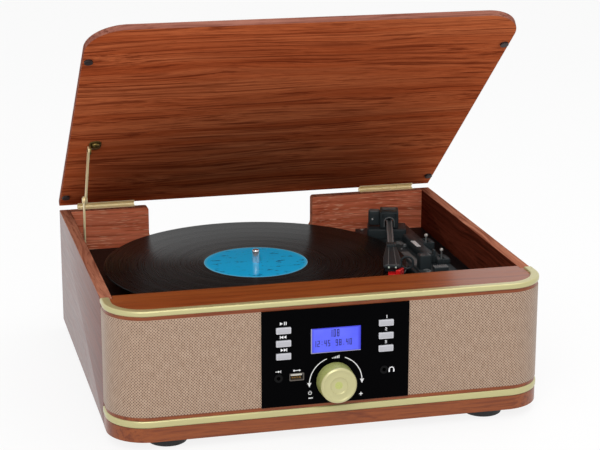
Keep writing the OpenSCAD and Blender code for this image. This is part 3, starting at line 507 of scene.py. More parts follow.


# ---- Speaker cloth ----
# Beige basket cloth stretched over the baffle and round the corners; the dark colour in the gaps between its
# threads is painted shade.
# The weave follows the surface.

CLOTH_Z0 = 23.1
CLOTH_Z1 = 113.0
PANEL_W = 136.0
THREAD = 0.0028
cloth_look, cloth_tree, cloth_shader = blank("speaker_cloth", sheen_weight=0.25, sheen_roughness=0.5,
                                             roughness=0.85)
cloth_uv = add_node(cloth_tree, "UVMap", uv_map="along_surface").outputs[0]
along, up = add_node(cloth_tree, "SeparateXYZ", {0: cloth_uv}).outputs[:2]


def woven(tree, value, pitch):
    """A sine of a length, with one wave for each pitch, from 0 to 1."""
    wave = reckon(tree, "SINE", reckon(tree, "MULTIPLY", value, 2 * np.pi / pitch))
    return reckon(tree, "MULTIPLY_ADD", wave, 0.5, 0.5)


threads = [woven(cloth_tree, reckon(cloth_tree, way, along, up), THREAD) for way in ("ADD", "SUBTRACT")]
gaps = reckon(cloth_tree, "MULTIPLY", *threads)
slub_at = add_node(cloth_tree, "Mapping", {"Scale": (500, 120, 1), "Vector": cloth_uv}).outputs[0]
slub = add_node(cloth_tree, "TexNoise", {"Scale": 1.0, "Detail": 2.0, "Vector": slub_at}).outputs["Fac"]
yarn = mix(cloth_tree, ramp(cloth_tree, slub, 0.3, 0.7), srgb(164, 136, 114), srgb(184, 157, 135))
# Painted shade: the gaps between the threads are mixed towards a dark brown.
cloth_tree.links.new(mix(cloth_tree, ramp(cloth_tree, gaps, 0.25, 0.7), yarn, srgb(64, 44, 34)),
                     cloth_shader.inputs["Base Color"])
bumped(cloth_tree, cloth_shader, gaps, 0.5, 0.0003, invert=True)

CLOTH_T = 2.0
ROLL = 0.7
fine_line, fine_out, fine_run = front_line(40)
cloth_profile = np.vstack([
    [[-CLOTH_T, CLOTH_Z0]],
    arc(-ROLL, CLOTH_Z0 + ROLL, ROLL, -90, 0, 4),
    np.column_stack([np.zeros(9), np.linspace(CLOTH_Z0 + ROLL, CLOTH_Z1 - ROLL, 11)[1:-1]]),
    arc(-ROLL, CLOTH_Z1 - ROLL, ROLL, 0, 90, 4),
    [[-CLOTH_T, CLOTH_Z1]]])
for name, side in SIDES:
    panel_end = side * PANEL_W / 2
    keep = fine_line[:, 0] * side > PANEL_W / 2
    end_run = np.interp(panel_end, fine_line[:, 0], fine_run)
    pairs = ([[panel_end, 0.0]], fine_line[keep]), ([[0, -1]], fine_out[keep]), ([end_run], fine_run[keep])
    strip, outs, runs = [np.concatenate(pair[::side]) for pair in pairs]
    uv = np.stack([np.repeat(runs, len(cloth_profile)), np.tile(cloth_profile[:, 1], len(runs))], 1) / 1000
    piece("cloth_" + name, [carried(cloth_profile, strip, outs)], cloth_look, "cabinet",
          ["grille_" + name], uv=uv)


# ---- Control panel ----
# A gloss black moulding held by four bosses, with cut-outs for the display, six keys, a data socket and
# two jacks. Marks are printed in white.

gloss_black = plain("gloss_black", (2, 2, 3), 0.08, 0.12, spread=0.05, bump=0.005, specular_ior_level=0.02)
dress(gloss_black, "control_panel")
PANEL_Y = -1.0
KEY_W, KEY_H = 13.6, 5.9
KEY_X = {"left": -48.0, "right": 46.4}
KEY_Z = [94.6, 82.55, 70.5]
INK = 0.06
printed_white = plain("printed_white", (228, 228, 230), 0.5, 0.6, spread=0.04)


def inked(outline, y=PANEL_Y, depth=INK):
    """A flat mark of one outline, lying on a plane that faces the front."""
    outline = np.asarray(outline, float)
    rings = [np.column_stack([outline, np.full(len(outline), w)]) for w in (y - depth, y)]
    return loft(np.array(rings), "xz")


def bar(x0, z0, x1, z1):
    """Outline of a rectangle between two corners."""
    return [(x0, z0), (x1, z0), (x1, z1), (x0, z1)]


def dash(x, z, w, h):
    """Outline of a rectangle of w by h round a point."""
    return bar(x - w / 2, z - h / 2, x + w / 2, z + h / 2)


def wedge(x, z, w, h):
    """Outline of a triangle whose point lies at x and whose base lies w to its left, or right if w < 0."""
    points = [(x, z), (x - w, z + h / 2), (x - w, z - h / 2)]
    return points if w > 0 else points[::-1]


def curved_bar(cx, cz, r0, r1, a0, a1, n=24):
    """Outline of a piece of a ring between two radii and two angles."""
    return np.vstack([arc(cx, cz, r1, a0, a1, n), arc(cx, cz, r0, a1, a0, n)])


SEGMENTS = {"0": "abcdef", "1": "bc", "2": "abged", "3": "abgcd", "4": "fgbc", "5": "afgcd", "6": "afgedc",
            "7": "abc", "8": "abcdefg", "9": "abcdfg"}
DOTS = {":": (0.28, 0.72), ".": (0.08,)}


def figures(text, x, z, h, pitch, thick):
    """Outlines of seven-bar figures, colons and points, one pitch apart from the lower left corner on."""
    w = pitch * 0.66
    bars = {"a": (0, h - thick, w, h), "b": (w - thick, h / 2, w, h), "c": (w - thick, 0, w, h / 2),
            "d": (0, 0, w, thick), "e": (0, 0, thick, h / 2), "f": (0, h / 2, thick, h),
            "g": (0, h / 2 - thick / 2, w, h / 2 + thick / 2)}
    found = []
    for i, letter in enumerate(text):
        x0 = x + i * pitch
        for name in SEGMENTS.get(letter, ""):
            a, b, c, d = bars[name]
            found.append(bar(x0 + a, z + b, x0 + c, z + d))
        for share in DOTS.get(letter, ()):
            found.append(dash(x0 + w / 2, z + h * share + thick / 2, thick, thick))
    return found


# Signs by the left keys: skip back and skip forward between them, play and pause above them.
SIGN_W, SIGN_H = 2.7, 3.0
TOP_SIGN_Z = 101.2
key_x = KEY_X["left"]
marks = []
for gap, way in ((0, -1), (1, 1)):
    z = (KEY_Z[gap] + KEY_Z[gap + 1]) / 2
    marks += [wedge(key_x + way * reach, z, way * SIGN_W, SIGN_H) for reach in (0.1, 2.9)]
    marks.append(dash(key_x + way * 2.95, z, 0.7, SIGN_H))
marks.append(wedge(key_x - 0.6, TOP_SIGN_Z, SIGN_W, SIGN_H))
marks += [dash(key_x + x, TOP_SIGN_Z, 0.8, SIGN_H) for x in (0.8, 2.4)]

# Numbers above the right keys.
for number, z in zip("123", (98.8, 87.1, 75.0)):
    marks += figures(number, KEY_X["right"] - 0.9, z, SIGN_H, 2.7, 0.6)

# Two arrows round the knob, and five rising steps between them.
DIAL = (0.0, 42.0)
DIAL_R, DIAL_T = 24.4, 0.8
HEAD_W, HEAD_H = 3.8, 4.2
for start, stop in ((110, 178), (2, 70)):
    marks.append(curved_bar(*DIAL, DIAL_R - DIAL_T / 2, DIAL_R + DIAL_T / 2, start, stop))
for x in (-DIAL_R, DIAL_R):
    z = DIAL[1] - 2.8
    marks.append([(x, z), (x + HEAD_W / 2, z + HEAD_H), (x - HEAD_W / 2, z + HEAD_H)])
RISE_X, RISE_Z, RISE_PITCH = -3.6, 64.8, 1.5
for i in range(5):
    x = RISE_X + i * RISE_PITCH
    marks.append(bar(x, RISE_Z, x + 0.9, RISE_Z + 0.8 + i * 0.5))

# Power and less at the left arrow, more at the right one.
POWER = (-23.8, 33.9)
LESS, MORE = (-23.2, 29.05), (23.5, 29.05)
LINE_T = 0.9
marks += [curved_bar(*POWER, 1.25, 1.75, 125, 415), dash(POWER[0], POWER[1] + 1.25, 0.54, 1.9),
          dash(*LESS, 4.0, LINE_T), dash(*MORE, 3.2, LINE_T)]
marks += [dash(MORE[0], MORE[1] + up * 1.025, LINE_T, 1.15) for up in (-1, 1)]

# Headphones, an arrow into a line, and a branch, each by its socket.
PHONES, LINE_IN, BRANCH = (52.0, 49.8), (-52.9, 56.5), (-35.9, 56.4)
marks.append(curved_bar(*PHONES, 1.7, 2.6, 0, 180))
marks += [dash(PHONES[0] + ear * 2.15, PHONES[1] - 1.2, 1.3, 2.4) for ear in (-1, 1)]
marks += [dash(LINE_IN[0] - 1.25, LINE_IN[1], 2.5, 0.6), wedge(LINE_IN[0] + 1.7, LINE_IN[1], 1.9, 2.2),
          dash(LINE_IN[0] + 2.3, LINE_IN[1], 0.6, 2.4)]
marks += [dash(*BRANCH, 4.0, 0.6), wedge(BRANCH[0] + 4.0, BRANCH[1], 2.0, 1.9),
          curved_bar(BRANCH[0] - 2.5, BRANCH[1], 0.02, 0.9, 0, 359)]
piece("panel_marks", [inked(m) for m in marks], printed_white, "cabinet")

# The display: a lit blue glass with darker edges, dark figures, and a grey edge at its left and bottom.
DISPLAY = (0.0, 82.3)
DISPLAY_W, DISPLAY_H = 46.0, 23.3
DISPLAY_Y = -0.7
lit_look, lit_tree, lit_shader = blank("lit_display", roughness=0.25, emission_strength=0.45)
lit_spot = add_node(lit_tree, "TexCoord").outputs["Object"]
to_edge = {"Location": (0, 0, -(DISPLAY[1] + FOOT_H) / (DISPLAY_H / 2)),
           "Scale": (2000 / DISPLAY_W, 0, 2000 / DISPLAY_H), "Vector": lit_spot}
lit_at = add_node(lit_tree, "Mapping", to_edge).outputs[0]
lit_apart = add_node(lit_tree, "VectorMath", {0: lit_at}, operation="ABSOLUTE").outputs[0]
lit_x, _, lit_z = add_node(lit_tree, "SeparateXYZ", {0: lit_apart}).outputs
lit_edge = reckon(lit_tree, "MAXIMUM", lit_x, lit_z)
lit_cloud = add_node(lit_tree, "TexNoise", {"Scale": 60.0, "Detail": 1.0, "Vector": lit_spot}).outputs["Fac"]
lit_blue = mix(lit_tree, ramp(lit_tree, lit_cloud, 0.3, 0.7), srgb(84, 96, 246), srgb(102, 114, 255))
lit_blue = mix(lit_tree, ramp(lit_tree, lit_edge, 0.86, 1.0), lit_blue, srgb(40, 40, 190))
lit_tree.links.new(lit_blue, lit_shader.inputs["Emission Color"])
lit_tree.links.new(mix(lit_tree, 0.6, lit_blue, srgb(20, 20, 150)), lit_shader.inputs["Base Color"])
dress(lit_look, "display_module")
segment_navy = plain("segment_navy", (24, 26, 104), 0.4, 0.5, spread=0.05)
shown = figures("108", -5.4, 85.2, 6.8, 3.2, 0.7)
for text, x in (("12:45", -20.2), ("98.40", -0.2)):
    shown += figures(text, x, 76.6, 5.8, 3.2, 0.65)
piece("display_figures", [inked(m, DISPLAY_Y) for m in shown], segment_navy, "cabinet")
frame_grey = plain("frame_grey", (150, 150, 178), 0.3, 0.4, spread=0.05)
EDGE_LEFT, EDGE_LOW, EDGE_DEPTH = 1.0, 0.7, 0.25
x0, x1 = -DISPLAY_W / 2, DISPLAY_W / 2
z0, z1 = DISPLAY[1] - DISPLAY_H / 2, DISPLAY[1] + DISPLAY_H / 2
edges = bar(x0, z0, x0 + EDGE_LEFT, z1), bar(x0 + EDGE_LEFT, z0, x1, z0 + EDGE_LOW)
piece("display_frame", [inked(m, DISPLAY_Y, EDGE_DEPTH) for m in edges], frame_grey, "cabinet")


def front_plate(x, z, w, h, r, front, back, edge):
    """A plate of w by h with corners of radius r, round a point of the front, between two depths."""
    return slab(rounded(x - w / 2, z - h / 2, x + w / 2, z + h / 2, r), front, back, edge, "xz")


# Each key is a cap, a flange behind the panel, a stem, and a flat field on the cap. A row gives width,
# height, corner radius, front, back and rim.
FIELD_Y = PANEL_Y - 1.25
KEY_PARTS = ((KEY_W, KEY_H, 0.7, PANEL_Y - 1.2, 2.1, 0.5),
             (15.8, 8.0, 0.3, 2.15, 3.35, 0.1),
             (3.0, 3.0, 0.6, 3.25, 4.35, 0.1),
             (KEY_W - 1.8, KEY_H - 1.6, 0.5, FIELD_Y, FIELD_Y + 0.15, 0.04))
# Painted highlight: the cap is a lighter grey than the field on it, so that its rim shows as lit.
key_rim_painted_highlight = plain("key_rim_painted_highlight", (198, 198, 204), 0.3, 0.4, spread=0.05)
key_face = plain("key_face", (178, 178, 184), 0.4, 0.5, spread=0.06)
for name, x in KEY_X.items():
    for i, z in enumerate(KEY_Z):
        number = "%s_%d" % (name, i + 1)
        made = piece("key_" + number, [front_plate(x, z, *row) for row in KEY_PARTS], key_rim_painted_highlight,
                     "button_%s_body" % number, ["button_" + number])
        refinish(made, key_face,
                 lambda at, to: (at[:, 1] < (FIELD_Y + 0.01 - MID_Y) / 1000) & (to[:, 1] < -0.9))


# ---- Sockets on the front ----
# Two black 3.5 mm jacks with a grey ring, and a data socket with a plated shell, a white tongue and four
# contacts. They are soldered to the board behind the panel.


def turned(profile, centre=(0, 0, 0), steps=72):
    """A profile of (radius, height) turned about an upright axis through the centre. Its ends are capped."""
    a = np.linspace(0, 2 * np.pi, steps, endpoint=False)
    profile = np.asarray(profile, float)
    rings = np.empty((len(profile), steps, 3))
    rings[..., 0] = profile[:, None, 0] * np.cos(a)
    rings[..., 1] = profile[:, None, 0] * np.sin(a)
    rings[..., 2] = profile[:, None, 1]
    points, faces = loft(rings)
    return points + centre, faces


def hoop(profile, centre=(0, 0, 0), steps=48):
    """A closed profile of (radius, height) turned about an upright axis through the centre, without ends."""
    a = np.linspace(0, 2 * np.pi, steps, endpoint=False)
    profile = np.asarray(profile, float)
    rings = np.empty((steps, len(profile), 3))
    rings[..., 0] = profile[None, :, 0] * np.cos(a)[:, None]
    rings[..., 1] = profile[None, :, 0] * np.sin(a)[:, None]
    rings[..., 2] = profile[None, :, 1]
    points, faces = loft(rings, closed=True)
    return points + centre, [f[::-1] for f in faces]


def facing_front(part, x=0.0, y=0.0, z=0.0):
    """Turns a part drawn along +Z so that it points to the front, and moves it to a point."""
    points, faces = part
    return np.stack([points[:, 0] + x, y - points[:, 2], points[:, 1] + z], 1), faces


JACK_Z = 50.3
jack_black = plain("jack_black", (8, 8, 9), 0.3, 0.45, specular_ior_level=0.1)
ring_grey = plain("ring_grey", (120, 120, 124), 0.3, 0.4, metallic=0.2, spread=0.08)
dress(jack_black, "front_jacks")
jack_ring = hoop([(2.7, 0.0), (3.2, 0.0), (3.2, 0.35), (3.1, 0.45), (2.8, 0.45), (2.7, 0.35)], steps=40)
piece("jack_rings", [facing_front(jack_ring, x, PANEL_Y + 0.05, JACK_Z) for x in (-52.7, 44.9)], ring_grey,
      "cabinet")

DATA_X, DATA_W, DATA_H = -35.9, 13.2, 7.0
DATA_BACK = 8.0
SHELL_T = 0.55
dull_steel = plain("dull_steel", (112, 106, 100), 0.35, 0.45, metallic=0.6, spread=0.1)
tongue_white = plain("tongue_white", (222, 218, 206), 0.4, 0.5, spread=0.05)
contact_gold = plain("contact_gold", (196, 150, 84), 0.2, 0.3, metallic=0.9, spread=0.05)
shell_rings = []
for inset, depths in ((0.0, (DATA_BACK, PANEL_Y - 0.05)), (SHELL_T, (PANEL_Y - 0.05, DATA_BACK))):
    mouth = rounded(DATA_X - DATA_W / 2 + inset, JACK_Z - DATA_H / 2 + inset,
                    DATA_X + DATA_W / 2 - inset, JACK_Z + DATA_H / 2 - inset, 0.6, 5)
    shell_rings += [np.column_stack([mouth, np.full(len(mouth), y)]) for y in depths]
shell, shell_faces = loft(np.array(shell_rings), "xz", closed=True)
piece("data_socket_shell", [(shell, [f[::-1] for f in shell_faces])], dull_steel, "cabinet",
      ["usb_socket"])
piece("data_socket_tongue", [front_plate(DATA_X, JACK_Z + 1.65, 10.6, 1.9, 0.3, 0.4, DATA_BACK, 0.2)],
      tongue_white, "cabinet")
piece("data_socket_contacts", [front_plate(DATA_X + x, JACK_Z - 1.65, 1.0, 1.5, 0.2, 1.6, 7.8, 0.1)
                               for x in (-3.5, -1.2, 1.2, 3.5)], contact_gold, "cabinet")
piece("data_socket_back", [front_plate(DATA_X, JACK_Z, 12.0, 5.8, 0.3, 7.4, 8.2, 0.1)], jack_black, "cabinet")


# ---- Volume knob ----
# A turned aluminium knob in the same pale gold, with a shallow dish in its face. Its plainer skirt is given a
# greener colour of its own, a painted reflection on the gold side. It is pushed onto a round shaft.

KNOB = (-1.5, 45.0)
KNOB_FRONT = 16.5
knob_face = plain("knob_face", (192, 187, 138), 0.28, 0.36, metallic=0.35, spread=0.03, grain=1500.0,
                  bump=0.01)
# Painted reflection: the skirt's greener gold, set apart from the face's colour.
knob_skirt_painted_reflection = plain("knob_skirt_painted_reflection", (182, 187, 110), 0.26, 0.34, metallic=0.1, spread=0.04, grain=1500.0,
                  bump=0.01)
knob_profile = np.vstack([
    [(15.5, 0.5), (15.7, 2.0), (17.0, 2.6), (17.2, 3.1), (16.6, 16.0)],
    arc(15.3, 16.4, 1.3, 5, 60, 4), arc(14.7, 17.5, 0.9, 45, 110, 5),
    [(13.6, 17.9), (13.1, 17.6), (8.6, 17.5)],
    arc(8.2, 17.2, 0.5, 80, 180, 5),
    [(7.0, 16.7), (3.5, 16.5), (0.05, 16.45)]])
shaft_profile = [(3.0, -9.9), (3.0, 0.6)]
knob_parts = [facing_front(turned(p), KNOB[0], PANEL_Y, KNOB[1]) for p in (knob_profile, shaft_profile)]
made = piece("knob_turned", knob_parts, knob_face, "knob", ["volume_knob"])
refinish(made, knob_skirt_painted_reflection, lambda at, to: at[:, 1] > (PANEL_Y - KNOB_FRONT - MID_Y) / 1000)


# ---- Feet ----
# Four round black rubber feet with an eased lower edge. Each is held by a plated screw that sits in the
# hollow of its underside.

FEET = [(x, y) for x in (-149, 149) for y in (26, 336)]
FOOT_R, FOOT_EDGE = 18.0, 1.5
foot_black = plain("foot_black", (20, 20, 21), 0.5, 0.7, bump=0.15)
plated = plain("plated_steel", (176, 174, 170), 0.25, 0.38, metallic=0.9, spread=0.1)
foot_profile = np.vstack([[(3.2, -5.5), (3.4, -8.4), (4.0, -FOOT_H)],
                          arc(FOOT_R - FOOT_EDGE, FOOT_EDGE - FOOT_H, FOOT_EDGE, -90, 0, 5),
                          [(FOOT_R, -0.6), (FOOT_R, 0.0)]])
screw_profile = [(0.9, -7.0), (1.0, -6.6), (3.0, -6.2), (3.1, -5.4)]
piece("feet_round", [turned(foot_profile, (*at, 0), 48) for at in FEET], foot_black, "cabinet",
      ["feet"])
piece("foot_screws", [turned(screw_profile, (*at, 0), 24) for at in FEET], plated, "cabinet")


# ---- Record and platter ----
# A 12 inch record of black vinyl on a ribbed rubber mat and a moulded platter, turned by a belt. The grooves
# are cut in bands between smooth rings, and the paper label is pressed into the middle.

RECORD_Z = 92.3
LABEL_R = 51.5
GROOVE_TOP = 1.94


def from_spindle(tree):
    """Flat coordinates round the spindle in metres, and the distance from it."""
    spot = add_node(tree, "TexCoord").outputs["Object"]
    inputs = {"Location": (-SPIN[0] / 1000, (MID_Y - SPIN[1]) / 1000, 0), "Scale": (1, 1, 0), "Vector": spot}
    flat = add_node(tree, "Mapping", inputs).outputs[0]
    return flat, add_node(tree, "VectorMath", {0: flat}, operation="LENGTH").outputs["Value"]


vinyl_look, vinyl_tree, vinyl_shader = blank("groove_vinyl", anisotropic=0.8, anisotropic_rotation=0.25,
                                             specular_ior_level=0.09)
_, vinyl_r = from_spindle(vinyl_tree)
ring_at = add_node(vinyl_tree, "CombineXYZ", {0: vinyl_r}).outputs[0]
groove = add_node(vinyl_tree, "TexNoise", {"Scale": 900.0, "Detail": 2.0, "Vector": ring_at}).outputs["Fac"]
groove_tone = mix(vinyl_tree, ramp(vinyl_tree, groove, 0.3, 0.7), srgb(10, 11, 11), srgb(17, 18, 18))
vinyl_tree.links.new(groove_tone, vinyl_shader.inputs["Base Color"])
vinyl_tree.links.new(ramp(vinyl_tree, groove, 0.35, 0.65, 0.24, 0.32), vinyl_shader.inputs["Roughness"])
bumped(vinyl_tree, vinyl_shader, groove, 0.05, 0.0001)
groove_way = add_node(vinyl_tree, "Tangent", direction_type="RADIAL", axis="Z")
vinyl_tree.links.new(groove_way.outputs[0], vinyl_shader.inputs["Tangent"])

RECORD_BANDS = [(146.5, 128.0), (127.0, 110.5), (109.5, 94.0), (93.0, 79.5), (78.5, 64.0)]
top = [(150.8, 1.0), (150.6, 1.6), (150.1, 1.92), (149.3, 2.0), (148.2, 1.95)]
for outer_r, inner_r in RECORD_BANDS:
    top += [(outer_r, GROOVE_TOP + 0.005), (outer_r - 0.2, GROOVE_TOP), (inner_r + 0.2, GROOVE_TOP),
            (inner_r, GROOVE_TOP + 0.005)]
top += [(60.5, 1.94), (56.0, 1.93), (LABEL_R + 1.5, 1.93), (LABEL_R + 0.3, 2.0), (LABEL_R, 1.86), (3.7, 1.86)]
under = [(3.7, 0.14), (50.0, 0.14), (50.3, 0.0), (149.3, 0.0), (150.4, 0.3)]
piece("record_grooved", [hoop(under + top, (*SPIN, RECORD_Z), 192)], vinyl_look, "turntable",
      ["record_disc"], sharp=20)

label_look, label_tree, label_shader = blank("label_print", coat=0.35, coat_roughness=0.06, roughness=0.6,
                                             specular_ior_level=0.05)
label_flat, label_r = from_spindle(label_tree)
fleck_at = add_node(label_tree, "Mapping", {"Scale": (60, 130, 1), "Vector": label_flat}).outputs[0]
fleck_noise = {"Scale": 1.0, "Detail": 5.0, "Roughness": 0.7, "Vector": fleck_at}
fleck = ramp(label_tree, add_node(label_tree, "TexNoise", fleck_noise).outputs["Fac"], 0.57, 0.62, 0.0, 0.8)
label_tone = mix(label_tree, fleck, srgb(16, 194, 255), srgb(6, 76, 150))
for low, high, ring in ((0.0484, 0.0487, (60, 200, 252)), (0.0505, 0.0507, (120, 204, 240))):
    label_tone = mix(label_tree, ramp(label_tree, label_r, low, high), label_tone, srgb(*ring))
label_tree.links.new(label_tone, label_shader.inputs["Base Color"])
dress(label_look, "record_label")

chrome = plain("bright_chrome", (232, 232, 235), 0.08, 0.14, metallic=0.9, spread=0.03, bump=0.01)
spindle_profile = [(3.55, 61.1), (3.55, 105.5), (3.4, 106.4), (2.9, 107.1), (2.0, 107.6), (0.9, 107.8),
                   (0.05, 107.8)]
piece("spindle_pin", [turned(spindle_profile, (*SPIN, 0), 32)], chrome, "turntable",
      ["spindle"])

satin_black = plain("satin_black", (17, 17, 18), 0.4, 0.55, spread=0.15, bump=0.1, specular_ior_level=0.12)
mat_black = plain("mat_black", (24, 24, 25), 0.7, 0.85, bump=0.3, specular_ior_level=0.3)
belt_black = plain("belt_black", (18, 18, 19), 0.5, 0.65)
brass = plain("yellow_brass", (238, 220, 172), 0.28, 0.38, metallic=0.25, spread=0.04, bump=0.0)
dress(satin_black, "platter", "deck_plate")
dress(mat_black, "slip_mat")
dress(belt_black, "drive_belt")
dress(brass, "motor_pulley", "platter_bearing")
dress(plated, "drive_motor")


# ---- Tonearm mechanism ----
# A black moulded base with a raised ridge, two lever housings and a pivot block, screwed to the deck. A
# paper sticker lies on the ridge, and a post with a hook keeps the arm when it isn't in use.

ARM = (139.0, 300.0)
ARM_Z = 103.5
ARM_IN = np.radians(-15.6)
BASE_Z = 86.0
LEVER_X = 163.0
# Each lever: name, place from the front, pivot height, housing height, stalk length, radius of the tip.
LEVERS = (("cue", 246.0, 90.0, 8.0, 9.6, 1.9), ("speed", 195.0, 87.0, 5.0, 11.5, 1.8))
arm_black = plain("arm_black", (44, 50, 52), 0.3, 0.42, spread=0.12, bump=0.05, specular_ior_level=0.12)
arm_grey = plain("arm_grey", (92, 95, 95), 0.34, 0.46, spread=0.12, bump=0.05)
sticker_white = plain("sticker_white", (196, 196, 196), 0.5, 0.6, spread=0.1)


def swung(points):
    """Points drawn with the arm straight ahead of its pivot, turned in to where the arm lies, in mm."""
    p = np.asarray(points, float).copy()
    x, y = p[:, 0].copy(), p[:, 1].copy()
    p[:, 0] = ARM[0] + x * np.cos(ARM_IN) - y * np.sin(ARM_IN)
    p[:, 1] = ARM[1] + x * np.sin(ARM_IN) + y * np.cos(ARM_IN)
    return p


def on_arm(points):
    """The same in the frame's metres."""
    return placed(swung(points))


def domed(cx, cy, z, r, h, edge=0.6):
    """A round button of radius r and height h, whose top edge is a quarter circle and whose top is domed."""
    profile = [(r, 0), (r, h - edge), *arc(r - edge, h - edge, edge, 0, 80, 4), (0.05, h + 0.15 * edge)]
    return turned(profile, (cx, cy, z), 28)


def lens(r, low, bow, a0, n, centre, steps):
    """A shallow round bulge: a foot of radius r under an arc of radius bow about a point below it."""
    return turned([(r, 0), *arc(0, -low, bow, a0, 88, n)], centre, steps)


plate_outline = np.array([(126, 150), (170, 150), (170, 335), (112, 335), (112, 276), (126, 276)], float)
UNDER = BASE_Z - 0.1
pivot_block, pivot_faces = block((-23, -14, UNDER), (18, 14, 96.6), 1.2, 2.5)
base_parts = [slab(plate_outline, DECK_Z, BASE_Z, 1.0),
              block((146, 190, UNDER), (157, 275, 94), 1.4, 2.0),
              block((130, 164, UNDER), (141, 262, BASE_Z + 1.2), 0.6, 1.5),
              (swung(pivot_block), pivot_faces)]
HOUSING_WALLS = ((156, -9, 161.6, 9, 0.8, 1.5), (164.4, -9, 170, 9, 0.8, 1.5),
                 (161, 7.2, 165, 9, 0.5, 0.5), (161, -9, 165, -7.2, 0.5, 0.5))
for _, y, _, height, _, _ in LEVERS:
    base_parts += [block((x0, y + y0, UNDER), (x1, y + y1, BASE_Z + height), edge, r)
                   for x0, y0, x1, y1, edge, r in HOUSING_WALLS]
piece("arm_base", base_parts, arm_black, "cabinet", ["tonearm_base"])
BASE_SCREWS = ((118, 329), (163, 327), (131, 155), (166.4, 154))
piece("arm_base_screws", [domed(x, y, BASE_Z, 2.6, 1.2) for x, y in BASE_SCREWS], plated, "cabinet")
details = [lens(5.6, 6.0, 8.2, 47, 7, (141.0, 269.0, BASE_Z), 32),
           domed(141.6, 251, BASE_Z + 1.2, 1.8, 3.2), domed(136, 244, BASE_Z + 1.2, 1.2, 1.0),
           block((131.5, 183, BASE_Z + 1.1), (139.5, 232, BASE_Z + 1.9), 0.3, 1.0)]
piece("arm_base_details", details, arm_grey, "cabinet")
piece("ridge_sticker", [block((146.8, 226, 93.98), (151.4, 248, 94.1), 0.05, 0.4)], sticker_white, "cabinet")

REST = (139.0, 175.0)
REST_TOP = 101.3
rest_parts = [block((REST[0] + x0, REST[1] - d, z0), (REST[0] + x1, REST[1] + d, z1), edge, r)
              for x0, x1, d, z0, z1, edge, r in ((-6.8, 5.4, 6, BASE_Z, REST_TOP, 1.0, 1.8),
                                                 (5.0, 8.2, 3, REST_TOP - 3, REST_TOP, 0.5, 0.5),
                                                 (7.8, 10.4, 3, REST_TOP - 3, REST_TOP + 4, 0.9, 0.9))]
piece("arm_rest_block", rest_parts, arm_black, "cabinet", ["arm_rest"])
rest_ring = hoop(bar(1.9, 0, 2.5, 0.25), (REST[0] - 3.4, REST[1] - 3.2, REST_TOP - 0.05), 28)
rest_foot = lens(5.0, 5.6, 7.5, 48, 6, (REST[0] - 0.6, REST[1] - 6.8, BASE_Z), 28)
piece("arm_rest_details", [rest_ring, rest_foot], arm_grey, "cabinet")


# ---- Tonearm ----
# The swinging head with its side housing, a grey channel arm, a round counterweight, and a headshell with a
# finger loop. The red stylus holder clips under the cartridge.

PIVOT_Z = 97.0
HEAD_Z = PIVOT_Z + 17.6
SLOT = 4.1
head_parts = [block((-9.7, -12, PIVOT_Z), (9.7, 12, ARM_Z - SLOT), 0.8, 2.0),
              block((-9.7, -12, ARM_Z + SLOT), (9.7, 12, HEAD_Z), 1.0, 2.0),
              block((-9.7, -12, PIVOT_Z + 0.5), (-4.0, 12, HEAD_Z - 0.6), 0.8, 1.6),
              block((4.0, -12, PIVOT_Z + 0.5), (9.7, 12, HEAD_Z - 0.6), 0.8, 1.6),
              block((-22, -6, PIVOT_Z + 1.6), (-9.2, 7, HEAD_Z - 1.0), 1.6, 2.5),
              block((-8.2, -10.4, HEAD_Z - 0.4), (8.2, -4, HEAD_Z + 0.5), 0.4, 1.0),
              turned([(2.5, 84.4), (2.5, PIVOT_Z + 0.5)], steps=24)]
piece("pivot_head", head_parts, arm_black, "arm_swing_body", ["tonearm_pivot"], place=on_arm)
ARCH_R0, ARCH_R1, ARCH_Z = 4.7, 5.8, ARM_Z + 0.6
arch = [curved_bar(0, ARCH_Z, ARCH_R0, ARCH_R1, -12, 192),
        bar(-ARCH_R1, ARM_Z - 4.6, -ARCH_R0, ARCH_Z), bar(ARCH_R0, ARM_Z - 4.6, ARCH_R1, ARCH_Z)]
piece("pivot_arch", [slab(np.array(o, float), -13.2, -11.6, 0.25, "xz") for o in arch],
      arm_grey, "arm_swing_body", place=on_arm)
caps = [block((-7.2, 1, HEAD_Z - 0.3), (7.2, 9.5, HEAD_Z + 0.4), 0.3, 1.0),
        block((-20.6, -4.6, HEAD_Z - 1.3), (-11, 5.6, HEAD_Z - 0.7), 0.3, 1.2)]
piece("pivot_caps", caps, arm_grey, "arm_swing_body", place=on_arm)
piece("pivot_screw", [facing_front(domed(0, 0, 0, 0.9, 0.5, 0.3), -17.6, -5.9, PIVOT_Z + 8.6)], sticker_white,
      "arm_swing_body", place=on_arm)


def facing_rear(part, x=0.0, y=0.0, z=0.0):
    """Turns a part drawn along +Z so that it points to the rear, and moves it to a point."""
    points, faces = part
    return np.stack([x - points[:, 0], y + points[:, 2], points[:, 1] + z], 1), faces


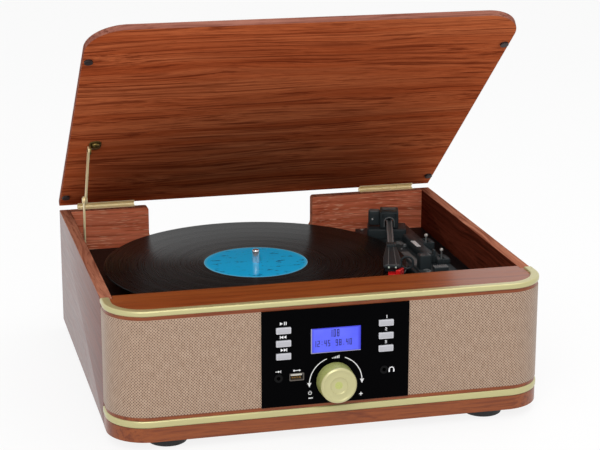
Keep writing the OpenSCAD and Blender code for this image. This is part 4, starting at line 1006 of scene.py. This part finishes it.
TUBE_END = -106.0
WEIGHT_Y, WEIGHT_L = 17.0, 12.0
tube_grey = plain("tube_grey", (132, 134, 134), 0.3, 0.4, metallic=0.3, spread=0.06)
channel = np.array([(-3, -3), (3, -3), (3, 3), (1.6, 3), (1.6, 0.8), (-1.6, 0.8), (-1.6, 3), (-3, 3)], float)
channel_parts = [slab(channel + [0, ARM_Z], TUBE_END, WEIGHT_Y + 8, 0.35, "xz", 3)]
piece("arm_channel", channel_parts, tube_grey, "arm_lift_body", ["tonearm_tube"], place=on_arm)
channel_floor = np.array(bar(-1.5, ARM_Z + 0.7, 1.5, ARM_Z + 1.0))
piece("arm_channel_floor", [slab(channel_floor, TUBE_END + 1, WEIGHT_Y, 0.05, "xz")], arm_grey,
      "arm_lift_body", place=on_arm)
weight_profile = [(3.0, 0), (5.6, 0), (6.0, 0.5), (6.0, 3.4), (5.6, 3.8), (5.6, 4.3), (6.0, 4.7),
                  (6.0, WEIGHT_L - 0.8), (5.4, WEIGHT_L), (0.05, WEIGHT_L)]
piece("weight_round", [facing_rear(turned(weight_profile, steps=48), 0, WEIGHT_Y, ARM_Z)], arm_black,
      "arm_lift_body", ["counterweight"], place=on_arm)

SHELL_Z = 103.1
SHELL_TOP = SHELL_Z + 2.6
shell_outline = np.array([(-8.5, -176), (8.5, -176), (8.5, -146), (5, -106), (-5, -106), (-8.5, -146)], float)
shell_parts = [slab(shell_outline, SHELL_Z, SHELL_TOP, 0.8),
               block((-4.5, -110, ARM_Z - 4.5), (4.5, -100, ARM_Z + 4.5), 0.8, 0.8)]
piece("headshell_plate", shell_parts, arm_black, "arm_lift_body", ["headshell"], place=on_arm)
# Painted highlight: the diagonal ribs are a lighter grey than the black headshell, standing for the light
# along its top.
rib = np.array([(-4.2, -172), (-3.4, -172), (-2.0, -112), (-2.8, -112)], float)
rib_parts = [slab(o, SHELL_TOP - 0.1, SHELL_TOP + 0.5, 0.2) for o in (rib, (rib * [-1, 1])[::-1])]
rib_parts.append(block((-6.8, -174.6, SHELL_TOP - 0.1), (6.8, -173.4, SHELL_TOP + 0.4), 0.2, 0.4))
piece("headshell_ribs", rib_parts, arm_grey, "arm_lift_body", place=on_arm)
finger_loop = facing_front(hoop(arc(6.0, 0, 1.2, 0, 345, 24), steps=40), 14.7, -155, SHELL_Z - 0.4)
piece("finger_loop", [finger_loop], arm_black, "arm_lift_body", place=on_arm)

CARTRIDGE_Z = 97.9
piece("cartridge_body", [block((-7, -170, CARTRIDGE_Z), (7, -146, SHELL_Z), 0.6, 1.0)], arm_black,
      "arm_lift_body", ["cartridge"], place=on_arm)
# Two small pins on the cartridge's front; their pale green-white is a painted highlight.
pin_painted_highlight = plain("pin_painted_highlight", (206, 222, 206), 0.35, 0.45, spread=0.05)
pins = [facing_front(domed(0, 0, 0, 0.9, 0.9, 0.3), x, -175.7, SHELL_Z + 0.9) for x in (-3.4, 3.4)]
piece("cartridge_pins", pins, pin_painted_highlight, "arm_lift_body", place=on_arm)
stylus_red = plain("stylus_red", (214, 24, 26), 0.2, 0.3, coat=0.3, spread=0.05)
holder = np.array([(-2.6, -2.4), (2.6, -2.4), (4, 0), (-4, 0)], float) + [0, CARTRIDGE_Z]
holder_wing = np.array([(3.2, -180), (7.4, -181), (11.2, -171), (8.9, -170)], float)
stylus_parts = [slab(holder, -180, -150, 0.3, "xz"),
                slab(holder_wing, CARTRIDGE_Z - 1.8, CARTRIDGE_Z + 4.4, 0.4),
                turned([(0.05, 94.9), (0.4, 95.6), (0.4, 96.0)], (0, -172, 0), 12)]
piece("stylus_holder", stylus_parts, stylus_red, "arm_lift_body", ["stylus"], place=on_arm)


# ---- Tonearm controls ----
# The lever that lifts the arm, the lever for the speed, and a ribbed slider that turns the stop at the
# record's end on and off. The levers tilt on cross pins in their housings.


def facing_right(part, x=0.0, y=0.0, z=0.0):
    """Turns a part drawn along +Z so that it points to the right, and moves it to a point."""
    points, faces = part
    return points[:, [2, 0, 1]] + [x, y, z], faces


lever_white = plain("lever_white", (176, 174, 168), 0.35, 0.45, spread=0.08)
for name, y, z, _, stalk, tip in LEVERS:
    pivot = (LEVER_X, y, z)
    cross_pin = facing_right(turned([(0.8, -3.8), (0.8, 3.8)], steps=16), *pivot)
    upright = turned([(2.0, -1.0), (2.0, 0.6), (1.2, 1.6), (1.0, 3.0), (0.8, stalk - 1.0)], pivot, 24)
    piece(name + "_lever_stalk", [cross_pin, upright], arm_grey, name + "_lever_body",
          [name + "_lever"])
    ball = [*arc(0, stalk, tip, -70, 75, 9), (0.05, stalk + tip)]
    piece(name + "_lever_tip", [turned(ball, pivot, 24)], lever_white, name + "_lever_body")

STOP = (150.0, 158.0)
STOP_W, STOP_D, STOP_H = 15.0, 8.0, 7.4
RIBS = 7
rib_grey = plain("rib_grey", (128, 130, 130), 0.34, 0.46, spread=0.08)
slider = block((STOP[0] - STOP_W / 2, STOP[1] - STOP_D / 2, BASE_Z + 0.15),
               (STOP[0] + STOP_W / 2, STOP[1] + STOP_D / 2, BASE_Z + STOP_H - 0.9), 0.5, 0.8)
piece("slider_body", [slider], arm_black, "autostop_body", ["autostop_switch"])
rib_x = STOP[0] - STOP_W / 2 + 1.2 + np.arange(RIBS) * (STOP_W - 2.4) / (RIBS - 1)
slider_ribs = [block((x - 0.5, STOP[1] - STOP_D / 2 + 0.2, BASE_Z + STOP_H - 1.2),
                     (x + 0.5, STOP[1] + STOP_D / 2 - 0.2, BASE_Z + STOP_H), 0.3, 0.3) for x in rib_x]
piece("slider_ribs", slider_ribs, rib_grey, "autostop_body")


# ---- Lid ----
# A 6 mm board with the same wood film on both faces and lacquered edges; its underside's film is drawn in
# much lighter tones, painted light on the open lid's inner face. Four small rubber bumpers under its corners
# keep it off the cabinet.

LID_OPEN = np.radians(39.3)
HINGE = (364.8, 121.2)
LID_Z = 122.4
LID_T = 6.0


def on_lid(points):
    """Places points drawn on the closed lid where the open lid holds them."""
    p = np.asarray(points, float).copy()
    y, z = p[:, 1] - HINGE[0], p[:, 2] - HINGE[1]
    p[:, 1] = HINGE[0] + y * np.cos(LID_OPEN) + z * np.sin(LID_OPEN)
    p[:, 2] = HINGE[1] - y * np.sin(LID_OPEN) + z * np.cos(LID_OPEN)
    return placed(p)


half_w = CAB_W / 2 - CORNER_R
lid_outline = np.vstack([
    arc(-half_w, CORNER_R, CORNER_R, 180, 270, 28), arc(half_w, CORNER_R, CORNER_R, 270, 360, 28),
    arc(CAB_W / 2 - 1, CAB_D - 1, 1, 0, 90, 4), arc(-CAB_W / 2 + 1, CAB_D - 1, 1, 90, 180, 4)])
TILTED = (LID_OPEN, 0, 0)
lid_gloss = wood("lid_gloss", *RED_BROWN, GLOSSY, TILTED, (0.35, 0.1, 0.4))
# Painted light: the underside, which faces the room when the lid is open, gets much lighter tones than the
# top film.
lid_inside_painted_light = wood("lid_inside_painted_light", (100, 36, 18), (174, 83, 45), (198, 108, 66), SATIN, TILTED, (0.05, 0.3, 0.4))
lid_edge = wood("lid_edge", (96, 48, 36), (146, 92, 78), (164, 112, 96), SATIN, TILTED, (0.15, 0.2, 0.1))
made = piece("lid_board", [slab(lid_outline, LID_Z, LID_Z + LID_T, 0.7)], lid_gloss, "lid",
             ["lid_panel"], place=on_lid)
inward = np.array([0, -np.sin(LID_OPEN), -np.cos(LID_OPEN)])
refinish(made, lid_edge, lambda at, to: np.abs(to @ inward) < 0.8)
refinish(made, lid_inside_painted_light, lambda at, to: to @ inward > 0.8)
bumper_look = plain("bumper_rubber", (38, 24, 22), 0.5, 0.6)
dress(bumper_look, "lid_bumpers")


# ---- Hinges and stay ----
# Two brass butt hinges, and a folding brass stay of two flat arms. The stay is riveted to a bracket on the
# side board and to an ear under the lid.

# The bracket and the lid's ear are darker brass: partly aged metal, partly painted shade.
aged_brass_painted_shade = plain("aged_brass_painted_shade", (120, 100, 52), 0.3, 0.45, metallic=0.8, spread=0.15, grain=700.0)
dress(brass, "lid_hinge_leaves", "cabinet_hinge_leaves", "stay_lower_arm", "stay_upper_arm")
dress(aged_brass_painted_shade, "stay_wall_bracket")
EAR_X, EAR_Y, EAR_Z = -182.8, HINGE[0] - 142.0, LID_Z - 5.4
EAR_T = 1.4
ear_parts = [slab(rounded(EAR_X, EAR_Y - 9, EAR_X + 12, EAR_Y + 9, 5.0), LID_Z - 1.0, LID_Z, 0.3),
             turned([(0.05, -3.4), (3.0, -3.1), (4.4, -2.2), (4.9, -0.9)], (EAR_X + 6.2, EAR_Y, LID_Z), 32),
             block((EAR_X, EAR_Y - 4.5, EAR_Z), (EAR_X + EAR_T, EAR_Y + 4.5, LID_Z - 0.5), 0.2, 0.3),
             facing_right(turned([(4.5, 0), (4.5, EAR_T)], steps=32), EAR_X, EAR_Y, EAR_Z),
             facing_right(turned([(2.0, -1.8), (2.0, 0.4)], steps=20), EAR_X, EAR_Y, EAR_Z)]
piece("stay_lid_ear", ear_parts, aged_brass_painted_shade, "lid", ["stay_lid_bracket"], place=on_lid)


# ---- Inside and rear ----
# Paper cone speakers behind the cloth, two circuit boards and the volume control. At the rear a screwed
# black plate carries three sockets with a coloured ring each.

board_green = plain("board_green", (30, 92, 52), 0.35, 0.5, spread=0.25)
basket_black = plain("basket_black", (36, 36, 38), 0.35, 0.5)
cone_look = plain("cone_paper", (30, 30, 32), 0.7, 0.85, bump=0.3)
dress(board_green, "control_board", "main_board")
dress(plated, "volume_pot")
dress(basket_black, "speaker_left", "speaker_right")
dress(cone_look, "speaker_cones")
dress(jack_black, "rear_socket_plate", "rear_sockets")
SOCKET_Z = 45.0
SOCKET_END = 368.0
PLATE_REAR = CAB_D + 1.45
socket_white = plain("socket_white", (214, 212, 206), 0.35, 0.45, spread=0.06)
socket_red = plain("socket_red", (176, 32, 30), 0.35, 0.45, spread=0.06)
REAR_RINGS = (("white", socket_white, 101, 1.7, 3.7), ("red", socket_red, 117, 1.7, 3.7),
              ("grey", ring_grey, 143, 2.9, 3.9))
for name, look, x, bore, outer in REAR_RINGS:
    ring = hoop(bar(bore, 0, outer, 0.25), steps=40)
    piece("rear_socket_ring_" + name, [facing_rear(ring, x, SOCKET_END - 0.05, SOCKET_Z)], look, "cabinet")
rear_screws = [facing_rear(domed(0, 0, 0, 2.6, 1.0), x, PLATE_REAR, SOCKET_Z) for x in (92, 158)]
piece("rear_plate_screws", rear_screws, plated, "cabinet")
